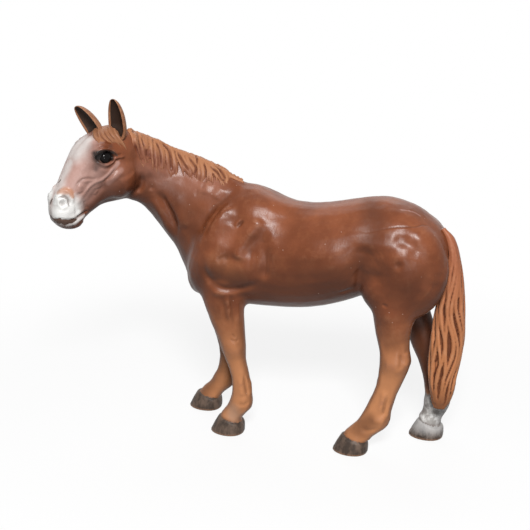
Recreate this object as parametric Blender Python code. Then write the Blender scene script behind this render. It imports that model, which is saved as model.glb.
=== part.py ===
"""Toy farm horse, a solid moulded figure with its separate pieces.

Metres, +Z up. The head points to -X and the tail to +X, and the horse's left side is -Y.
Round masses are lofted and joined into one skin, with the neck straight. The skin is parted
into trunk, neck, head and legs, the hair, ears, eyes and hooves are fitted to it with a named
gap, and the neck and head are then turned to the horse's left.
"""
from dataclasses import dataclass
from math import cos, pi, radians, sin

import bmesh
import bpy
import numpy as np
from mathutils import Matrix, Vector

MM = 0.001

# Trunk: places run back from the breast and up from the belly line
TRUNK_LENGTH = 88 * MM
TRUNK_DEPTH = 40 * MM
BARREL_WIDTH = 29.5 * MM
BELLY_HEIGHT = 44 * MM

# Neck and head: places run forward and up from the withers, then from the poll
NECK_LENGTH = 44 * MM
NECK_WIDTH = 23 * MM
HEAD_LENGTH = 38 * MM
HEAD_WIDTH = 14.4 * MM
EYE_RADIUS = 1.7 * MM
EYE_SPREAD = 11.4 * MM
NOSTRIL_LENGTH = 2.6 * MM
EAR_LENGTH = 10.4 * MM
EAR_WIDTH = 6.9 * MM
EAR_WALL = 0.8 * MM
EAR_SPREAD = 8.6 * MM

# Legs: depth runs front to back at the knee and the hock
KNEE_DEPTH = 8.3 * MM
KNEE_WIDTH = 7.0 * MM
HOCK_DEPTH = 10.2 * MM
HOCK_WIDTH = 7.2 * MM
FORE_CUT_HEIGHT = 42.3 * MM
HIND_CUT_HEIGHT = 46.5 * MM

# Feet: fore feet stand behind the breast, hind feet ahead of the rump, and all stand out
LEFT_FORE_FOOT_X = 16.6 * MM
LEFT_FORE_FOOT_Y = 7.1 * MM
RIGHT_FORE_FOOT_X = 3.6 * MM
RIGHT_FORE_FOOT_Y = 9.3 * MM
LEFT_HIND_FOOT_INSET = 29.2 * MM
LEFT_HIND_FOOT_Y = 10.2 * MM
RIGHT_HIND_FOOT_INSET = 6.9 * MM
RIGHT_HIND_FOOT_Y = 6.8 * MM
FLANK_AHEAD_OF_FOOT = 6.0 * MM
HOOF_LENGTH = 11.4 * MM
HOOF_WIDTH = 9.6 * MM
HOOF_HEIGHT = 6.2 * MM

# Hair
MANE_LOCKS = 12
MANE_LOCK_LENGTH = 10.5 * MM
MANE_LOCK_RADIUS = 1.5 * MM
MANE_RIDGE_RADIUS = 1.7 * MM
FORELOCK_RADIUS = 1.3 * MM
TAIL_LENGTH = 59 * MM
TAIL_DEPTH = 9.2 * MM
TAIL_WIDTH = 6.6 * MM
TAIL_STRANDS = 9
TAIL_STRAND_RADIUS = 1.3 * MM
TAIL_WAVE = 0.6 * MM

# How the neck turns to the horse's left
HEAD_TURN = radians(52)
TURN_START = 14 * MM
TURN_LENGTH = 34 * MM

# Fit and surface
PART_GAP = 0.34 * MM
SKIN_VOXEL = 0.95 * MM
HAIR_VOXEL = 0.62 * MM
LOOSE_SPECK = 1.2 * MM

# How finely curves are cut into facets
SIDES = 24
TUBE_SIDES = 8
RING_STEPS = 3
EAR_STEPS = 7
MASS_SEGMENTS = 20
PIT_SEGMENTS = 10
EYE_SEGMENTS = 12
TURN_READINGS = 300
SKIN_SMOOTHING = 5
HAIR_SMOOTHING = 1
SKIN_FACE_SHARE = 0.132
MANE_FACE_SHARE = 0.15
FORELOCK_FACE_SHARE = 0.15
TAIL_FACE_SHARE = 0.15
SHARP_ANGLE = radians(50)

# Each trunk ring, as shares: along, top, bottom, half width, widest point, squareness
TRUNK_RING_SHARES = (
    (0.022, 0.44, 0.20, 0.34, 0.50, 1.0),
    (0.052, 0.66, 0.08, 0.64, 0.50, 1.0),
    (0.110, 0.86, 0.02, 0.84, 0.44, 1.0),
    (0.176, 0.95, 0.01, 0.91, 0.42, 1.0),
    (0.267, 0.995, 0.00, 0.93, 0.42, 1.0),
    (0.358, 0.91, 0.00, 0.95, 0.45, 1.0),
    (0.449, 0.87, 0.01, 0.98, 0.46, 1.0),
    (0.540, 0.88, 0.045, 1.00, 0.47, 1.0),
    (0.630, 0.92, 0.11, 0.98, 0.47, 1.0),
    (0.700, 0.955, 0.17, 0.94, 0.50, 1.0),
    (0.767, 0.955, 0.17, 0.96, 0.50, 1.0),
    (0.858, 0.895, 0.18, 0.87, 0.50, 1.0),
    (0.918, 0.805, 0.24, 0.72, 0.50, 1.0),
    (0.954, 0.73, 0.38, 0.52, 0.50, 1.0),
    (0.978, 0.65, 0.50, 0.30, 0.50, 1.0),
)
WITHERS_ALONG_SHARE = 0.267
FLANK_ALONG_SHARE = 0.60

# Each neck ring, as shares: crest ahead and up, throat ahead and up, half width, widest
# point, squareness
NECK_RING_SHARES = (
    (-0.12, -0.05, 0.36, -0.88, 0.96, 0.45, 1.0),
    (0.08, 0.01, 0.47, -0.76, 0.90, 0.42, 1.05),
    (0.22, 0.075, 0.54, -0.62, 0.78, 0.40, 1.1),
    (0.34, 0.125, 0.59, -0.51, 0.68, 0.40, 1.15),
    (0.46, 0.165, 0.655, -0.42, 0.60, 0.40, 1.15),
    (0.58, 0.205, 0.72, -0.325, 0.54, 0.42, 1.15),
    (0.70, 0.265, 0.785, -0.235, 0.50, 0.44, 1.1),
    (0.815, 0.32, 0.85, -0.17, 0.48, 0.46, 1.05),
    (0.93, 0.36, 0.94, -0.13, 0.46, 0.50, 1.0),
)
POLL_SHARES = (0.932, 0.40)

# Each head ring, as shares: face ahead and up, jaw ahead and up, half width, widest point,
# squareness
HEAD_RING_SHARES = (
    (-0.02, -0.02, -0.10, -0.46, 0.62, 0.62, 1.0),
    (0.10, 0.005, -0.04, -0.57, 0.84, 0.60, 0.95),
    (0.21, 0.005, 0.07, -0.605, 0.95, 0.60, 0.9),
    (0.33, -0.035, 0.195, -0.61, 0.98, 0.68, 0.8),
    (0.435, -0.115, 0.29, -0.625, 0.90, 0.70, 0.75),
    (0.515, -0.22, 0.365, -0.665, 0.74, 0.68, 0.75),
    (0.585, -0.325, 0.425, -0.705, 0.64, 0.64, 0.75),
    (0.645, -0.425, 0.48, -0.745, 0.58, 0.60, 0.8),
    (0.70, -0.52, 0.535, -0.765, 0.58, 0.56, 0.8),
    (0.72, -0.61, 0.60, -0.77, 0.53, 0.50, 0.85),
    (0.705, -0.685, 0.64, -0.755, 0.30, 0.50, 0.9),
)

# Muscles on both sides of the trunk, as shares: along, up, out, then the three half sizes
# (length, height, thickness) and how far the mass leans back
TRUNK_MASS_SHARES = (
    (0.165, 0.47, 0.47, 0.112, 0.41, 0.51, 22),
    (0.105, 0.32, 0.44, 0.070, 0.20, 0.42, 0),
    (0.078, 0.24, 0.26, 0.056, 0.17, 0.34, 0),
    (0.835, 0.50, 0.42, 0.145, 0.32, 0.57, 12),
    (0.892, 0.36, 0.46, 0.090, 0.32, 0.44, 18),
    (0.755, 0.30, 0.54, 0.075, 0.22, 0.40, -10),
)

# Masses on both sides of the head, as shares: ahead, up, out, then the three half sizes and
# the lean: cheek disc, brow, lower lid, cheek bone, nostril
HEAD_MASS_SHARES = (
    (0.140, -0.385, 0.52, 0.165, 0.180, 0.62, 0),
    (0.325, -0.130, 0.76, 0.105, 0.042, 0.32, -25),
    (0.300, -0.265, 0.80, 0.090, 0.024, 0.22, -20),
    (0.430, -0.330, 0.56, 0.140, 0.030, 0.26, -48),
    (0.640, -0.520, 0.36, 0.070, 0.075, 0.32, 0),
)
CHIN_SHARES = (0.520, -0.720, 0, 0.105, 0.050, 0.44, -22)
EYE_SHARES = (0.305, -0.195)
NOSTRIL_SHARES = (0.655, -0.525, 0.60)
LEFT_EAR_SHARES = (0.150, -0.005)
RIGHT_EAR_SHARES = (0.245, -0.050)

# A leg's line, as shares of the belly height, behind the foot and up, and its thickness, as
# shares of the depth and width at the knee or the hock
LEFT_FORE_LINE_SHARES = (
    (-0.03, 1.23, 1.90, 1.50),
    (-0.01, 1.07, 1.64, 1.40),
    (0.018, 0.91, 1.36, 1.20),
    (0.045, 0.79, 1.12, 1.02),
    (0.058, 0.70, 1.04, 1.00),
    (0.080, 0.59, 0.82, 0.76),
    (0.110, 0.455, 0.78, 0.72),
    (0.118, 0.335, 0.86, 0.80),
    (0.112, 0.26, 0.97, 0.92),
    (0.063, 0.185, 0.80, 0.80),
    (0.028, 0.125, 0.88, 0.92),
    (0.002, 0.06, 0.95, 1.00),
)
RIGHT_FORE_LINE_SHARES = (
    (0.22, 1.23, 1.90, 1.50),
    (0.215, 1.07, 1.64, 1.40),
    (0.195, 0.91, 1.36, 1.20),
    (0.180, 0.79, 1.12, 1.02),
    (0.170, 0.70, 1.04, 1.00),
    (0.180, 0.59, 0.80, 0.76),
    (0.190, 0.455, 0.74, 0.72),
    (0.180, 0.335, 0.84, 0.80),
    (0.158, 0.26, 0.97, 0.92),
    (0.096, 0.185, 0.76, 0.80),
    (0.045, 0.125, 0.86, 0.92),
    (0.010, 0.06, 0.95, 1.00),
)
LEFT_HIND_LINE_SHARES = (
    (0.33, 1.41, 2.10, 1.60),
    (0.29, 1.22, 1.75, 1.52),
    (0.275, 1.07, 1.32, 1.30),
    (0.275, 0.93, 1.08, 1.05),
    (0.290, 0.82, 0.96, 0.96),
    (0.300, 0.735, 1.00, 1.00),
    (0.280, 0.635, 0.87, 0.86),
    (0.245, 0.50, 0.73, 0.74),
    (0.202, 0.365, 0.80, 0.80),
    (0.180, 0.280, 0.92, 0.92),
    (0.104, 0.19, 0.72, 0.82),
    (0.047, 0.125, 0.78, 0.94),
    (0.012, 0.06, 0.84, 1.02),
)
RIGHT_HIND_LINE_SHARES = (
    (-0.24, 1.41, 2.00, 1.60),
    (-0.25, 1.22, 1.68, 1.52),
    (-0.190, 1.07, 1.26, 1.30),
    (-0.125, 0.93, 1.04, 1.05),
    (-0.070, 0.82, 0.96, 0.96),
    (-0.032, 0.735, 1.00, 1.00),
    (0.000, 0.635, 0.87, 0.86),
    (0.030, 0.50, 0.73, 0.74),
    (0.060, 0.365, 0.78, 0.80),
    (0.068, 0.28, 0.88, 0.92),
    (0.042, 0.19, 0.70, 0.82),
    (0.018, 0.125, 0.76, 0.94),
    (0.005, 0.06, 0.84, 1.02),
)
FORE_TOP_SPREAD = 17.4 * MM
HIND_TOP_SPREAD = 17.4 * MM

# Each hoof ring, as shares of its length, height and width: toe ahead and up, heel ahead and
# up, half width. The first ring is the flat sole.
HOOF_RING_SHARES = (
    (0.485, 0.00, -0.460, 0.00, 0.93),
    (0.515, 0.07, -0.490, 0.06, 1.00),
    (0.400, 0.50, -0.500, 0.33, 0.93),
    (0.275, 0.90, -0.490, 0.60, 0.84),
    (0.245, 0.98, -0.460, 0.68, 0.80),
)
HOOF_WIDEST_SHARE = 0.44
HOOF_SQUARENESS_SHARE = 0.9
CORONET_TOE_SHARES = (0.245, 0.98)
CORONET_HEEL_SHARES = (-0.460, 0.68)

# Each ear ring, as shares: up the ear, half width, how far its back bulges, how deep its cup
EAR_RING_SHARES = (
    (-0.22, 0.50, 0.42, 0.00),
    (0.00, 0.82, 0.50, 0.05),
    (0.18, 0.97, 0.54, 0.30),
    (0.42, 1.00, 0.52, 0.34),
    (0.66, 0.80, 0.42, 0.26),
    (0.86, 0.46, 0.26, 0.12),
    (0.97, 0.20, 0.14, 0.04),
)
LEFT_EAR_LEAN = radians(7)
RIGHT_EAR_LEAN = radians(30)
EAR_SPLAY = radians(9)
EAR_FACING = radians(38)

# The mane: how much of the neck it covers, its ridge's thickness from the withers to the poll,
# how uneven its locks are, how far they sweep back and how much they thin
MANE_REACH_SHARES = (0.09, 0.985)
MANE_RIDGE_SHARES = (0.35, 0.75, 1.0, 1.0, 1.0, 1.0, 1.0, 1.0, 0.9, 0.75)
MANE_BAND_TURNS = (0, radians(16), radians(31))
MANE_BAND_SHARES = (0.82, 0.46, 0.36)
MANE_UNEVEN_SHARE = 0.22
MANE_UNEVEN_TURN = 2.3
MANE_SWEEP_SHARE = 0.04
FIRST_LOCK_SHARE = 0.7
LOCK_TAPER_SHARE = 0.5
LOCK_STEP = radians(14)

# The tail's middle line and thickness, as shares: back, down, depth, width
TAIL_LINE_SHARES = (
    (-0.085, -0.050, 0.32, 0.50),
    (-0.022, -0.010, 0.38, 0.56),
    (0.026, 0.065, 0.42, 0.62),
    (0.044, 0.18, 0.56, 0.76),
    (0.042, 0.35, 0.82, 0.94),
    (0.036, 0.52, 1.00, 1.00),
    (0.036, 0.68, 1.00, 0.98),
    (0.030, 0.82, 0.90, 0.88),
    (0.014, 0.94, 0.64, 0.62),
    (0.000, 1.00, 0.26, 0.26),
)
TAIL_ROOT_SHARES = (0.962, 0.700)
TAIL_SIDE_SHARE = -0.045
TAIL_CORE_SHARE = 0.62

# How the tail's strands end, thin and wind: the shares are of a strand's thickness
TAIL_END_STAGGER = 4
TAIL_ROOT_THICKNESS_SHARES = (0.35, 1.5)
TAIL_TAPER_SHARE = 0.55
TAIL_WAVES = 2.2
TAIL_WAVE_TURN = 1.9
TAIL_TWIST = radians(20)

# Forelock locks on the head, each as shares of the way down the face and of the quarter turn
# from the middle of the face to its side
FORELOCK_PATH_SHARES = (
    ((0.08, -0.10), (0.17, -0.05), (0.26, 0.03), (0.325, 0.16)),
    ((0.08, 0.05), (0.17, 0.14), (0.25, 0.30), (0.32, 0.44)),
    ((0.08, 0.16), (0.15, 0.34), (0.22, 0.54), (0.27, 0.68)),
    ((0.07, 0.26), (0.12, 0.50), (0.17, 0.74), (0.19, 0.98)),
)
FORELOCK_TAPER_SHARE = 0.6

# Where the neck is parted from the head and from the trunk: the top and the bottom of each line
HEAD_LINE_SHARES = ((0.935, 0.46), (0.855, -0.24))
NECK_LINE_SHARES = ((0.10, 0.20), (0.50, -0.86))


@dataclass(frozen=True)
class Ring:
    """One loft section: two ends in the XZ plane and a half width across Y."""
    low: Vector
    high: Vector
    half_width: float
    side: float = 0
    widest: float = 0.5
    square: float = 1.0

    def row(self):
        """The ring as numbers that can be blended with the next ring's."""
        return (*self.low, *self.high, self.half_width, self.side, self.widest, self.square)


def place(x, z):
    """A point of the XZ plane."""
    return Vector((x, z))


def trunk_place(along, up):
    return place(TRUNK_LENGTH * along, BELLY_HEIGHT + TRUNK_DEPTH * up)


WITHERS = trunk_place(WITHERS_ALONG_SHARE, 1)


def neck_place(ahead, up):
    return WITHERS + place(-NECK_LENGTH * ahead, NECK_LENGTH * up)


POLL = neck_place(*POLL_SHARES)


def head_place(ahead, up):
    return POLL + place(-HEAD_LENGTH * ahead, HEAD_LENGTH * up)


def blend_rows(rows, steps):
    """Pass a smooth curve through the rows and read it at even steps between them."""
    rows = np.array(rows)
    padded = np.vstack((2 * rows[0] - rows[1], rows, 2 * rows[-1] - rows[-2]))
    blended = []
    for k in range(1, len(padded) - 2):
        before, start, end, after = padded[k - 1:k + 3]
        for step in range(steps):
            t = step / steps
            curve = (2 * start + (end - before) * t
                     + (2 * before - 5 * start + 4 * end - after) * t ** 2
                     + (3 * start - before - 3 * end + after) * t ** 3)
            blended.append(curve / 2)
    blended.append(rows[-1])
    return np.array(blended)


def ring_point(row, turn):
    """A point of a blended ring; turn 0 is its high end and a quarter turn is the left side."""
    low_x, low_z, high_x, high_z, half_width, side, widest, square = row
    level = cos(turn)
    along = widest + level / 2 + level ** 2 * (0.5 - widest)
    across = abs(sin(turn)) ** square * (-1 if sin(turn) > 0 else 1)
    return Vector((
        low_x + (high_x - low_x) * along,
        side + half_width * across,
        low_z + (high_z - low_z) * along,
    ))


def add_loft(bm, sections):
    """Bridge closed sections of equal point counts and close both ends."""
    loops = [[bm.verts.new(point) for point in section] for section in sections]
    for first, second in zip(loops, loops[1:]):
        count = len(first)
        for k in range(count):
            after = (k + 1) % count
            bm.faces.new((first[k], first[after], second[after], second[k]))
    bm.faces.new(loops[0][::-1])
    bm.faces.new(loops[-1])


def add_rings(bm, rings):
    """Loft smoothly through a list of rings."""
    rows = blend_rows([ring.row() for ring in rings], RING_STEPS)
    add_loft(bm, [[ring_point(row, 2 * pi * k / SIDES) for k in range(SIDES)] for row in rows])


def add_tube(bm, points, radii):
    """Loft a round tube along points in space, with a radius at each point."""
    rows = blend_rows([(*point, radius) for point, radius in zip(points, radii)], RING_STEPS)
    circle = [Vector((cos(turn), sin(turn), 0))
              for turn in np.linspace(0, 2 * pi, TUBE_SIDES, endpoint=False)]
    sections = []
    for k, row in enumerate(rows):
        ahead = Vector(rows[min(k + 1, len(rows) - 1)][:3])
        behind = Vector(rows[max(k - 1, 0)][:3])
        turn = (ahead - behind).to_track_quat("Z", "Y").to_matrix()
        sections.append([Vector(row[:3]) + turn @ (point * row[3]) for point in circle])
    add_loft(bm, sections)


def add_mass(bm, centre, half_sizes, lean, segments=MASS_SEGMENTS):
    """Add an egg-shaped muscle that leans back by some degrees."""
    turn = Matrix.Rotation(radians(lean), 4, "Y")
    matrix = Matrix.Translation(centre) @ turn @ Matrix.Diagonal((*half_sizes, 1))
    bmesh.ops.create_uvsphere(bm, u_segments=segments, v_segments=segments // 2 + 2, radius=1,
                              matrix=matrix)


def finish_bmesh(bm, name):
    """Turn a bmesh into a linked object with outward faces."""
    bmesh.ops.recalc_face_normals(bm, faces=bm.faces)
    mesh = bpy.data.meshes.new(name)
    bm.to_mesh(mesh)
    bm.free()
    obj = bpy.data.objects.new(name, mesh)
    bpy.context.scene.collection.objects.link(obj)
    return obj


def apply_modifiers(obj):
    """Replace an object's mesh with what its modifiers make of it."""
    bpy.context.view_layer.update()
    graph = bpy.context.evaluated_depsgraph_get()
    mesh = bpy.data.meshes.new_from_object(obj.evaluated_get(graph))
    obj.modifiers.clear()
    obj.data = mesh


def remove(obj):
    bpy.data.objects.remove(obj)


def join_into_skin(obj, voxel, smoothing, face_share):
    """Melt overlapping closed shapes into one smooth skin with few faces."""
    remesh = obj.modifiers.new("melt", "REMESH")
    remesh.mode = "VOXEL"
    remesh.voxel_size = voxel
    smooth = obj.modifiers.new("smooth", "SMOOTH")
    smooth.iterations = smoothing
    thin = obj.modifiers.new("thin", "DECIMATE")
    thin.ratio = face_share
    apply_modifiers(obj)


def boolean(obj, cutter, operation):
    """Cut or keep with another object, which stays."""
    step = obj.modifiers.new(operation.lower(), "BOOLEAN")
    step.operation = operation
    step.object = cutter
    apply_modifiers(obj)


def copy_of(obj, name):
    twin = obj.copy()
    twin.data = obj.data.copy()
    twin.name = name
    bpy.context.scene.collection.objects.link(twin)
    return twin


def grow(obj, distance):
    """Move every point out along its normal."""
    bm = bmesh.new()
    bm.from_mesh(obj.data)
    bm.normal_update()
    for vert, normal in [(vert, vert.normal.copy()) for vert in bm.verts]:
        vert.co += normal * distance
    bm.to_mesh(obj.data)
    bm.free()


def drop_specks(obj):
    """Delete loose bodies smaller than a speck that a cut has left."""
    bm = bmesh.new()
    bm.from_mesh(obj.data)
    waiting = set(bm.verts)
    while waiting:
        island = {waiting.pop()}
        edge = list(island)
        while edge:
            for link in edge.pop().link_edges:
                for vert in link.verts:
                    if vert in waiting:
                        waiting.discard(vert)
                        island.add(vert)
                        edge.append(vert)
        spots = np.array([vert.co for vert in island])
        if np.ptp(spots, axis=0).max() < LOOSE_SPECK:
            bmesh.ops.delete(bm, geom=list(island), context="VERTS")
    bm.to_mesh(obj.data)
    bm.free()


def leg_rings(line_shares, foot_x, foot_y, top_spread, depth, width):
    """Rings square to the leg's line, which drifts out from the body to the foot."""
    centres = [place(foot_x + BELLY_HEIGHT * back, BELLY_HEIGHT * up)
               for back, up, _, _ in line_shares]
    top_y = top_spread / 2 * (1 if foot_y > 0 else -1)
    rings = []
    for k, (_, up, depth_share, width_share) in enumerate(line_shares):
        ahead = centres[min(k + 1, len(centres) - 1)]
        behind = centres[max(k - 1, 0)]
        down = (ahead - behind).normalized()
        front = place(down.y, -down.x)
        reach = depth * depth_share / 2
        side = foot_y + (top_y - foot_y) * min(up, 1)
        rings.append(Ring(centres[k] - front * reach, centres[k] + front * reach,
                          width * width_share / 2, side))
    return rings


LEGS = {
    "left_foreleg": (LEFT_FORE_LINE_SHARES, LEFT_FORE_FOOT_X, -LEFT_FORE_FOOT_Y,
                     FORE_TOP_SPREAD, KNEE_DEPTH, KNEE_WIDTH),
    "right_foreleg": (RIGHT_FORE_LINE_SHARES, RIGHT_FORE_FOOT_X, RIGHT_FORE_FOOT_Y,
                      FORE_TOP_SPREAD, KNEE_DEPTH, KNEE_WIDTH),
    "left_hindleg": (LEFT_HIND_LINE_SHARES, TRUNK_LENGTH - LEFT_HIND_FOOT_INSET,
                     -LEFT_HIND_FOOT_Y, HIND_TOP_SPREAD, HOCK_DEPTH, HOCK_WIDTH),
    "right_hindleg": (RIGHT_HIND_LINE_SHARES, TRUNK_LENGTH - RIGHT_HIND_FOOT_INSET,
                      RIGHT_HIND_FOOT_Y, HIND_TOP_SPREAD, HOCK_DEPTH, HOCK_WIDTH),
}


def trunk_rings():
    half = BARREL_WIDTH / 2
    return [Ring(trunk_place(along, low), trunk_place(along, high), half * share, 0, widest, square)
            for along, high, low, share, widest, square in TRUNK_RING_SHARES]


def neck_rings():
    half = NECK_WIDTH / 2
    return [Ring(neck_place(throat_x, throat_z), neck_place(crest_x, crest_z),
                 half * share, 0, widest, square)
            for crest_x, crest_z, throat_x, throat_z, share, widest, square in NECK_RING_SHARES]


def head_rings():
    half = HEAD_WIDTH / 2
    return [Ring(head_place(jaw_x, jaw_z), head_place(face_x, face_z),
                 half * share, 0, widest, square)
            for face_x, face_z, jaw_x, jaw_z, share, widest, square in HEAD_RING_SHARES]


def make_skin():
    """The whole horse without hair, ears, eyes and hooves, with its neck straight."""
    bm = bmesh.new()
    add_rings(bm, trunk_rings())
    add_rings(bm, neck_rings())
    add_rings(bm, head_rings())
    for leg in LEGS.values():
        add_rings(bm, leg_rings(*leg))
    for side in (-1, 1):
        for along, up, out, length, height, thickness, lean in TRUNK_MASS_SHARES:
            spot = trunk_place(along, up)
            add_mass(bm, (spot.x, side * BARREL_WIDTH / 2 * out, spot.y),
                     (TRUNK_LENGTH * length, BARREL_WIDTH / 2 * thickness, TRUNK_DEPTH * height),
                     lean)
        for mass in HEAD_MASS_SHARES:
            add_head_mass(bm, mass, side)
    add_head_mass(bm, CHIN_SHARES, 1)
    skin = finish_bmesh(bm, "skin")
    join_into_skin(skin, SKIN_VOXEL, SKIN_SMOOTHING, SKIN_FACE_SHARE)
    return skin


def add_head_mass(bm, shares, side):
    ahead, up, out, length, height, thickness, lean = shares
    spot = head_place(ahead, up)
    add_mass(bm, (spot.x, side * HEAD_WIDTH / 2 * out, spot.y),
             (HEAD_LENGTH * length, HEAD_WIDTH / 2 * thickness, HEAD_LENGTH * height), lean)


def half_space(high, low, side):
    """A block whose face runs through two places of the XZ plane, half a gap off the line.

    Side 1 lies to the left of the way from low to high, seen from the horse's left.
    """
    reach = TRUNK_LENGTH + NECK_LENGTH + HEAD_LENGTH
    up = (high - low).normalized()
    ahead = place(-up.y, up.x) * side
    middle = (high + low) / 2
    near = middle + ahead * PART_GAP / 2
    far = near + ahead * reach
    corners = (near - up * reach, near + up * reach, far + up * reach, far - up * reach)
    bm = bmesh.new()
    add_loft(bm, [[Vector((spot.x, y, spot.y)) for spot in corners] for y in (-reach, reach)])
    return finish_bmesh(bm, "cutter")


def split(obj, high, low, front_name):
    """Part an object along a line; the front piece is new and the object keeps the rest."""
    front = copy_of(obj, front_name)
    for piece, side in ((front, 1), (obj, -1)):
        cutter = half_space(high, low, side)
        boolean(piece, cutter, "INTERSECT")
        remove(cutter)
    return front


def leg_region(cut, side, fore):
    """A block that holds one leg below the height where it is cut.

    Fore and hind legs are kept apart by a plane from the flank to a place ahead of the foot.
    """
    flank = TRUNK_LENGTH * FLANK_ALONG_SHARE
    foot = TRUNK_LENGTH - LEFT_HIND_FOOT_INSET - FLANK_AHEAD_OF_FOOT
    far = -TRUNK_LENGTH if fore else TRUNK_LENGTH + flank
    outside = side * BARREL_WIDTH
    bm = bmesh.new()
    add_loft(bm, [[Vector((x, y, z)) for x, y in ((far, 0), (middle, 0), (middle, outside), (far, outside))]
                  for middle, z in ((foot, 0), (flank, cut))])
    return finish_bmesh(bm, "cutter")


def part_legs(trunk):
    """Cut the four legs off the trunk and return them by name."""
    legs = {}
    for name in LEGS:
        side = -1 if name.startswith("left") else 1
        fore = name.endswith("foreleg")
        cut = FORE_CUT_HEIGHT if fore else HIND_CUT_HEIGHT
        leg = copy_of(trunk, name)
        region = leg_region(cut - PART_GAP / 2, side, fore)
        boolean(leg, region, "INTERSECT")
        remove(region)
        region = leg_region(cut + PART_GAP / 2, side, fore)
        boolean(trunk, region, "DIFFERENCE")
        remove(region)
        legs[name] = leg
    return legs


def hoof_place(foot_x, ahead, up):
    return place(foot_x - HOOF_LENGTH * ahead, HOOF_HEIGHT * up)


def make_hoof(name, foot_x, foot_y):
    """A hoof with a flat sole, sloping up to the coronet."""
    bm = bmesh.new()
    rings = [Ring(hoof_place(foot_x, heel, heel_up), hoof_place(foot_x, toe, toe_up),
                  HOOF_WIDTH / 2 * share, foot_y, HOOF_WIDEST_SHARE, HOOF_SQUARENESS_SHARE)
             for toe, toe_up, heel, heel_up, share in HOOF_RING_SHARES]
    rows = [ring.row() for ring in rings]
    add_loft(bm, [[ring_point(row, 2 * pi * k / SIDES) for k in range(SIDES)] for row in rows])
    return finish_bmesh(bm, name)


def cut_coronet(leg, foot_x):
    """Trim a leg one gap above its hoof's sloping top."""
    lift = place(0, PART_GAP / 2)
    toe = hoof_place(foot_x, *CORONET_TOE_SHARES) + lift
    heel = hoof_place(foot_x, *CORONET_HEEL_SHARES) + lift
    above = half_space(toe, heel, -1)
    boolean(leg, above, "INTERSECT")
    remove(above)


def make_eye(name, side):
    """A round bead, a small part of which shows."""
    spot = head_place(*EYE_SHARES)
    centre = Matrix.Translation((spot.x, side * EYE_SPREAD / 2, spot.y))
    bm = bmesh.new()
    bmesh.ops.create_uvsphere(bm, u_segments=EYE_SEGMENTS, v_segments=EYE_SEGMENTS // 2 + 1,
                              radius=EYE_RADIUS, matrix=centre @ Matrix.Rotation(pi / 2, 4, "X"))
    return finish_bmesh(bm, name)


def sink(body, piece):
    """Cut a piece's seat into a body, one gap larger than the piece."""
    seat = copy_of(piece, "cutter")
    grow(seat, PART_GAP)
    boolean(body, seat, "DIFFERENCE")
    remove(seat)


def open_nostrils(head):
    """Press a shallow pit into each side of the muzzle."""
    ahead, up, out = NOSTRIL_SHARES
    spot = head_place(ahead, up)
    half_sizes = (NOSTRIL_LENGTH / 2, NOSTRIL_LENGTH / 3, NOSTRIL_LENGTH / 2)
    for side in (-1, 1):
        bm = bmesh.new()
        add_mass(bm, (spot.x, side * HEAD_WIDTH / 2 * out, spot.y), half_sizes, 0, PIT_SEGMENTS)
        pit = finish_bmesh(bm, "cutter")
        boolean(head, pit, "DIFFERENCE")
        remove(pit)


def make_ear(name, side, root_shares, lean):
    """A cupped ear: each section is a crescent between its back and its cup."""
    root = head_place(*root_shares)
    half = EAR_WIDTH / 2
    bend = (Matrix.Translation((root.x, side * EAR_SPREAD / 2, root.y))
            @ Matrix.Rotation(-lean, 4, "Y") @ Matrix.Rotation(-side * EAR_SPLAY, 4, "X")
            @ Matrix.Rotation(-side * EAR_FACING, 4, "Z"))
    turns = np.linspace(-pi / 2, pi / 2, EAR_STEPS + 1)
    sections = []
    for up, width, bulge, cup in EAR_RING_SHARES:
        inner = (half - EAR_WALL) * width
        back = [(half * width * sin(turn), EAR_WIDTH * bulge * cos(turn)) for turn in turns]
        front = [(inner * sin(turn), EAR_WIDTH * cup * cos(turn)) for turn in turns[::-1]]
        sections.append([bend @ Vector((out, across, EAR_LENGTH * up))
                         for across, out in back + front])
    bm = bmesh.new()
    add_loft(bm, sections)
    return finish_bmesh(bm, name)


def surface_reader(rings):
    """Return a function that gives the point of a loft at a share of its way and a turn."""
    rows = blend_rows([ring.row() for ring in rings], 2 * RING_STEPS)

    def read(along_share, turn):
        position = along_share * (len(rows) - 1)
        first = int(min(position, len(rows) - 2))
        rest = position - first
        return ring_point(rows[first] * (1 - rest) + rows[first + 1] * rest, turn)

    return read


def lock_path(read, root, drop):
    """Points down the left side of the neck from the crest, swept back towards the tip."""
    spots = [read(root, 0)]
    length = 0
    turn = 0
    while length < drop:
        turn += LOCK_STEP
        after = read(root - MANE_SWEEP_SHARE * (length / drop) ** 2, turn)
        length += (after - spots[-1]).length
        spots.append(after)
    return spots


def tapered(radius, taper_share, count):
    """Radii from a lock's root to its tip, which thins by a share."""
    return [radius * (1 - taper_share * share ** 2) for share in np.linspace(0, 1, count)]


def make_mane(skin_grown):
    """A ridge along the crest, with locks that fall over the horse's left side."""
    read = surface_reader(neck_rings())
    start, end = MANE_REACH_SHARES
    steps = len(MANE_RIDGE_SHARES) - 1
    bm = bmesh.new()
    for turn, thin in zip(MANE_BAND_TURNS, MANE_BAND_SHARES):
        band = [read(start + (end - start) * k / steps, turn) for k in range(steps + 1)]
        add_tube(bm, band, [MANE_RIDGE_RADIUS * thin * share for share in MANE_RIDGE_SHARES])
    for lock in range(MANE_LOCKS):
        root = start + (end - start) * (lock + FIRST_LOCK_SHARE) / MANE_LOCKS
        drop = MANE_LOCK_LENGTH * (1 + MANE_UNEVEN_SHARE * sin(lock * MANE_UNEVEN_TURN))
        if lock == 0:
            drop *= MANE_RIDGE_SHARES[0]
        spots = lock_path(read, root, drop)
        add_tube(bm, spots, tapered(MANE_LOCK_RADIUS, LOCK_TAPER_SHARE, len(spots)))
    mane = finish_bmesh(bm, "mane")
    join_into_skin(mane, HAIR_VOXEL, HAIR_SMOOTHING, MANE_FACE_SHARE)
    boolean(mane, skin_grown, "DIFFERENCE")
    return mane


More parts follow.
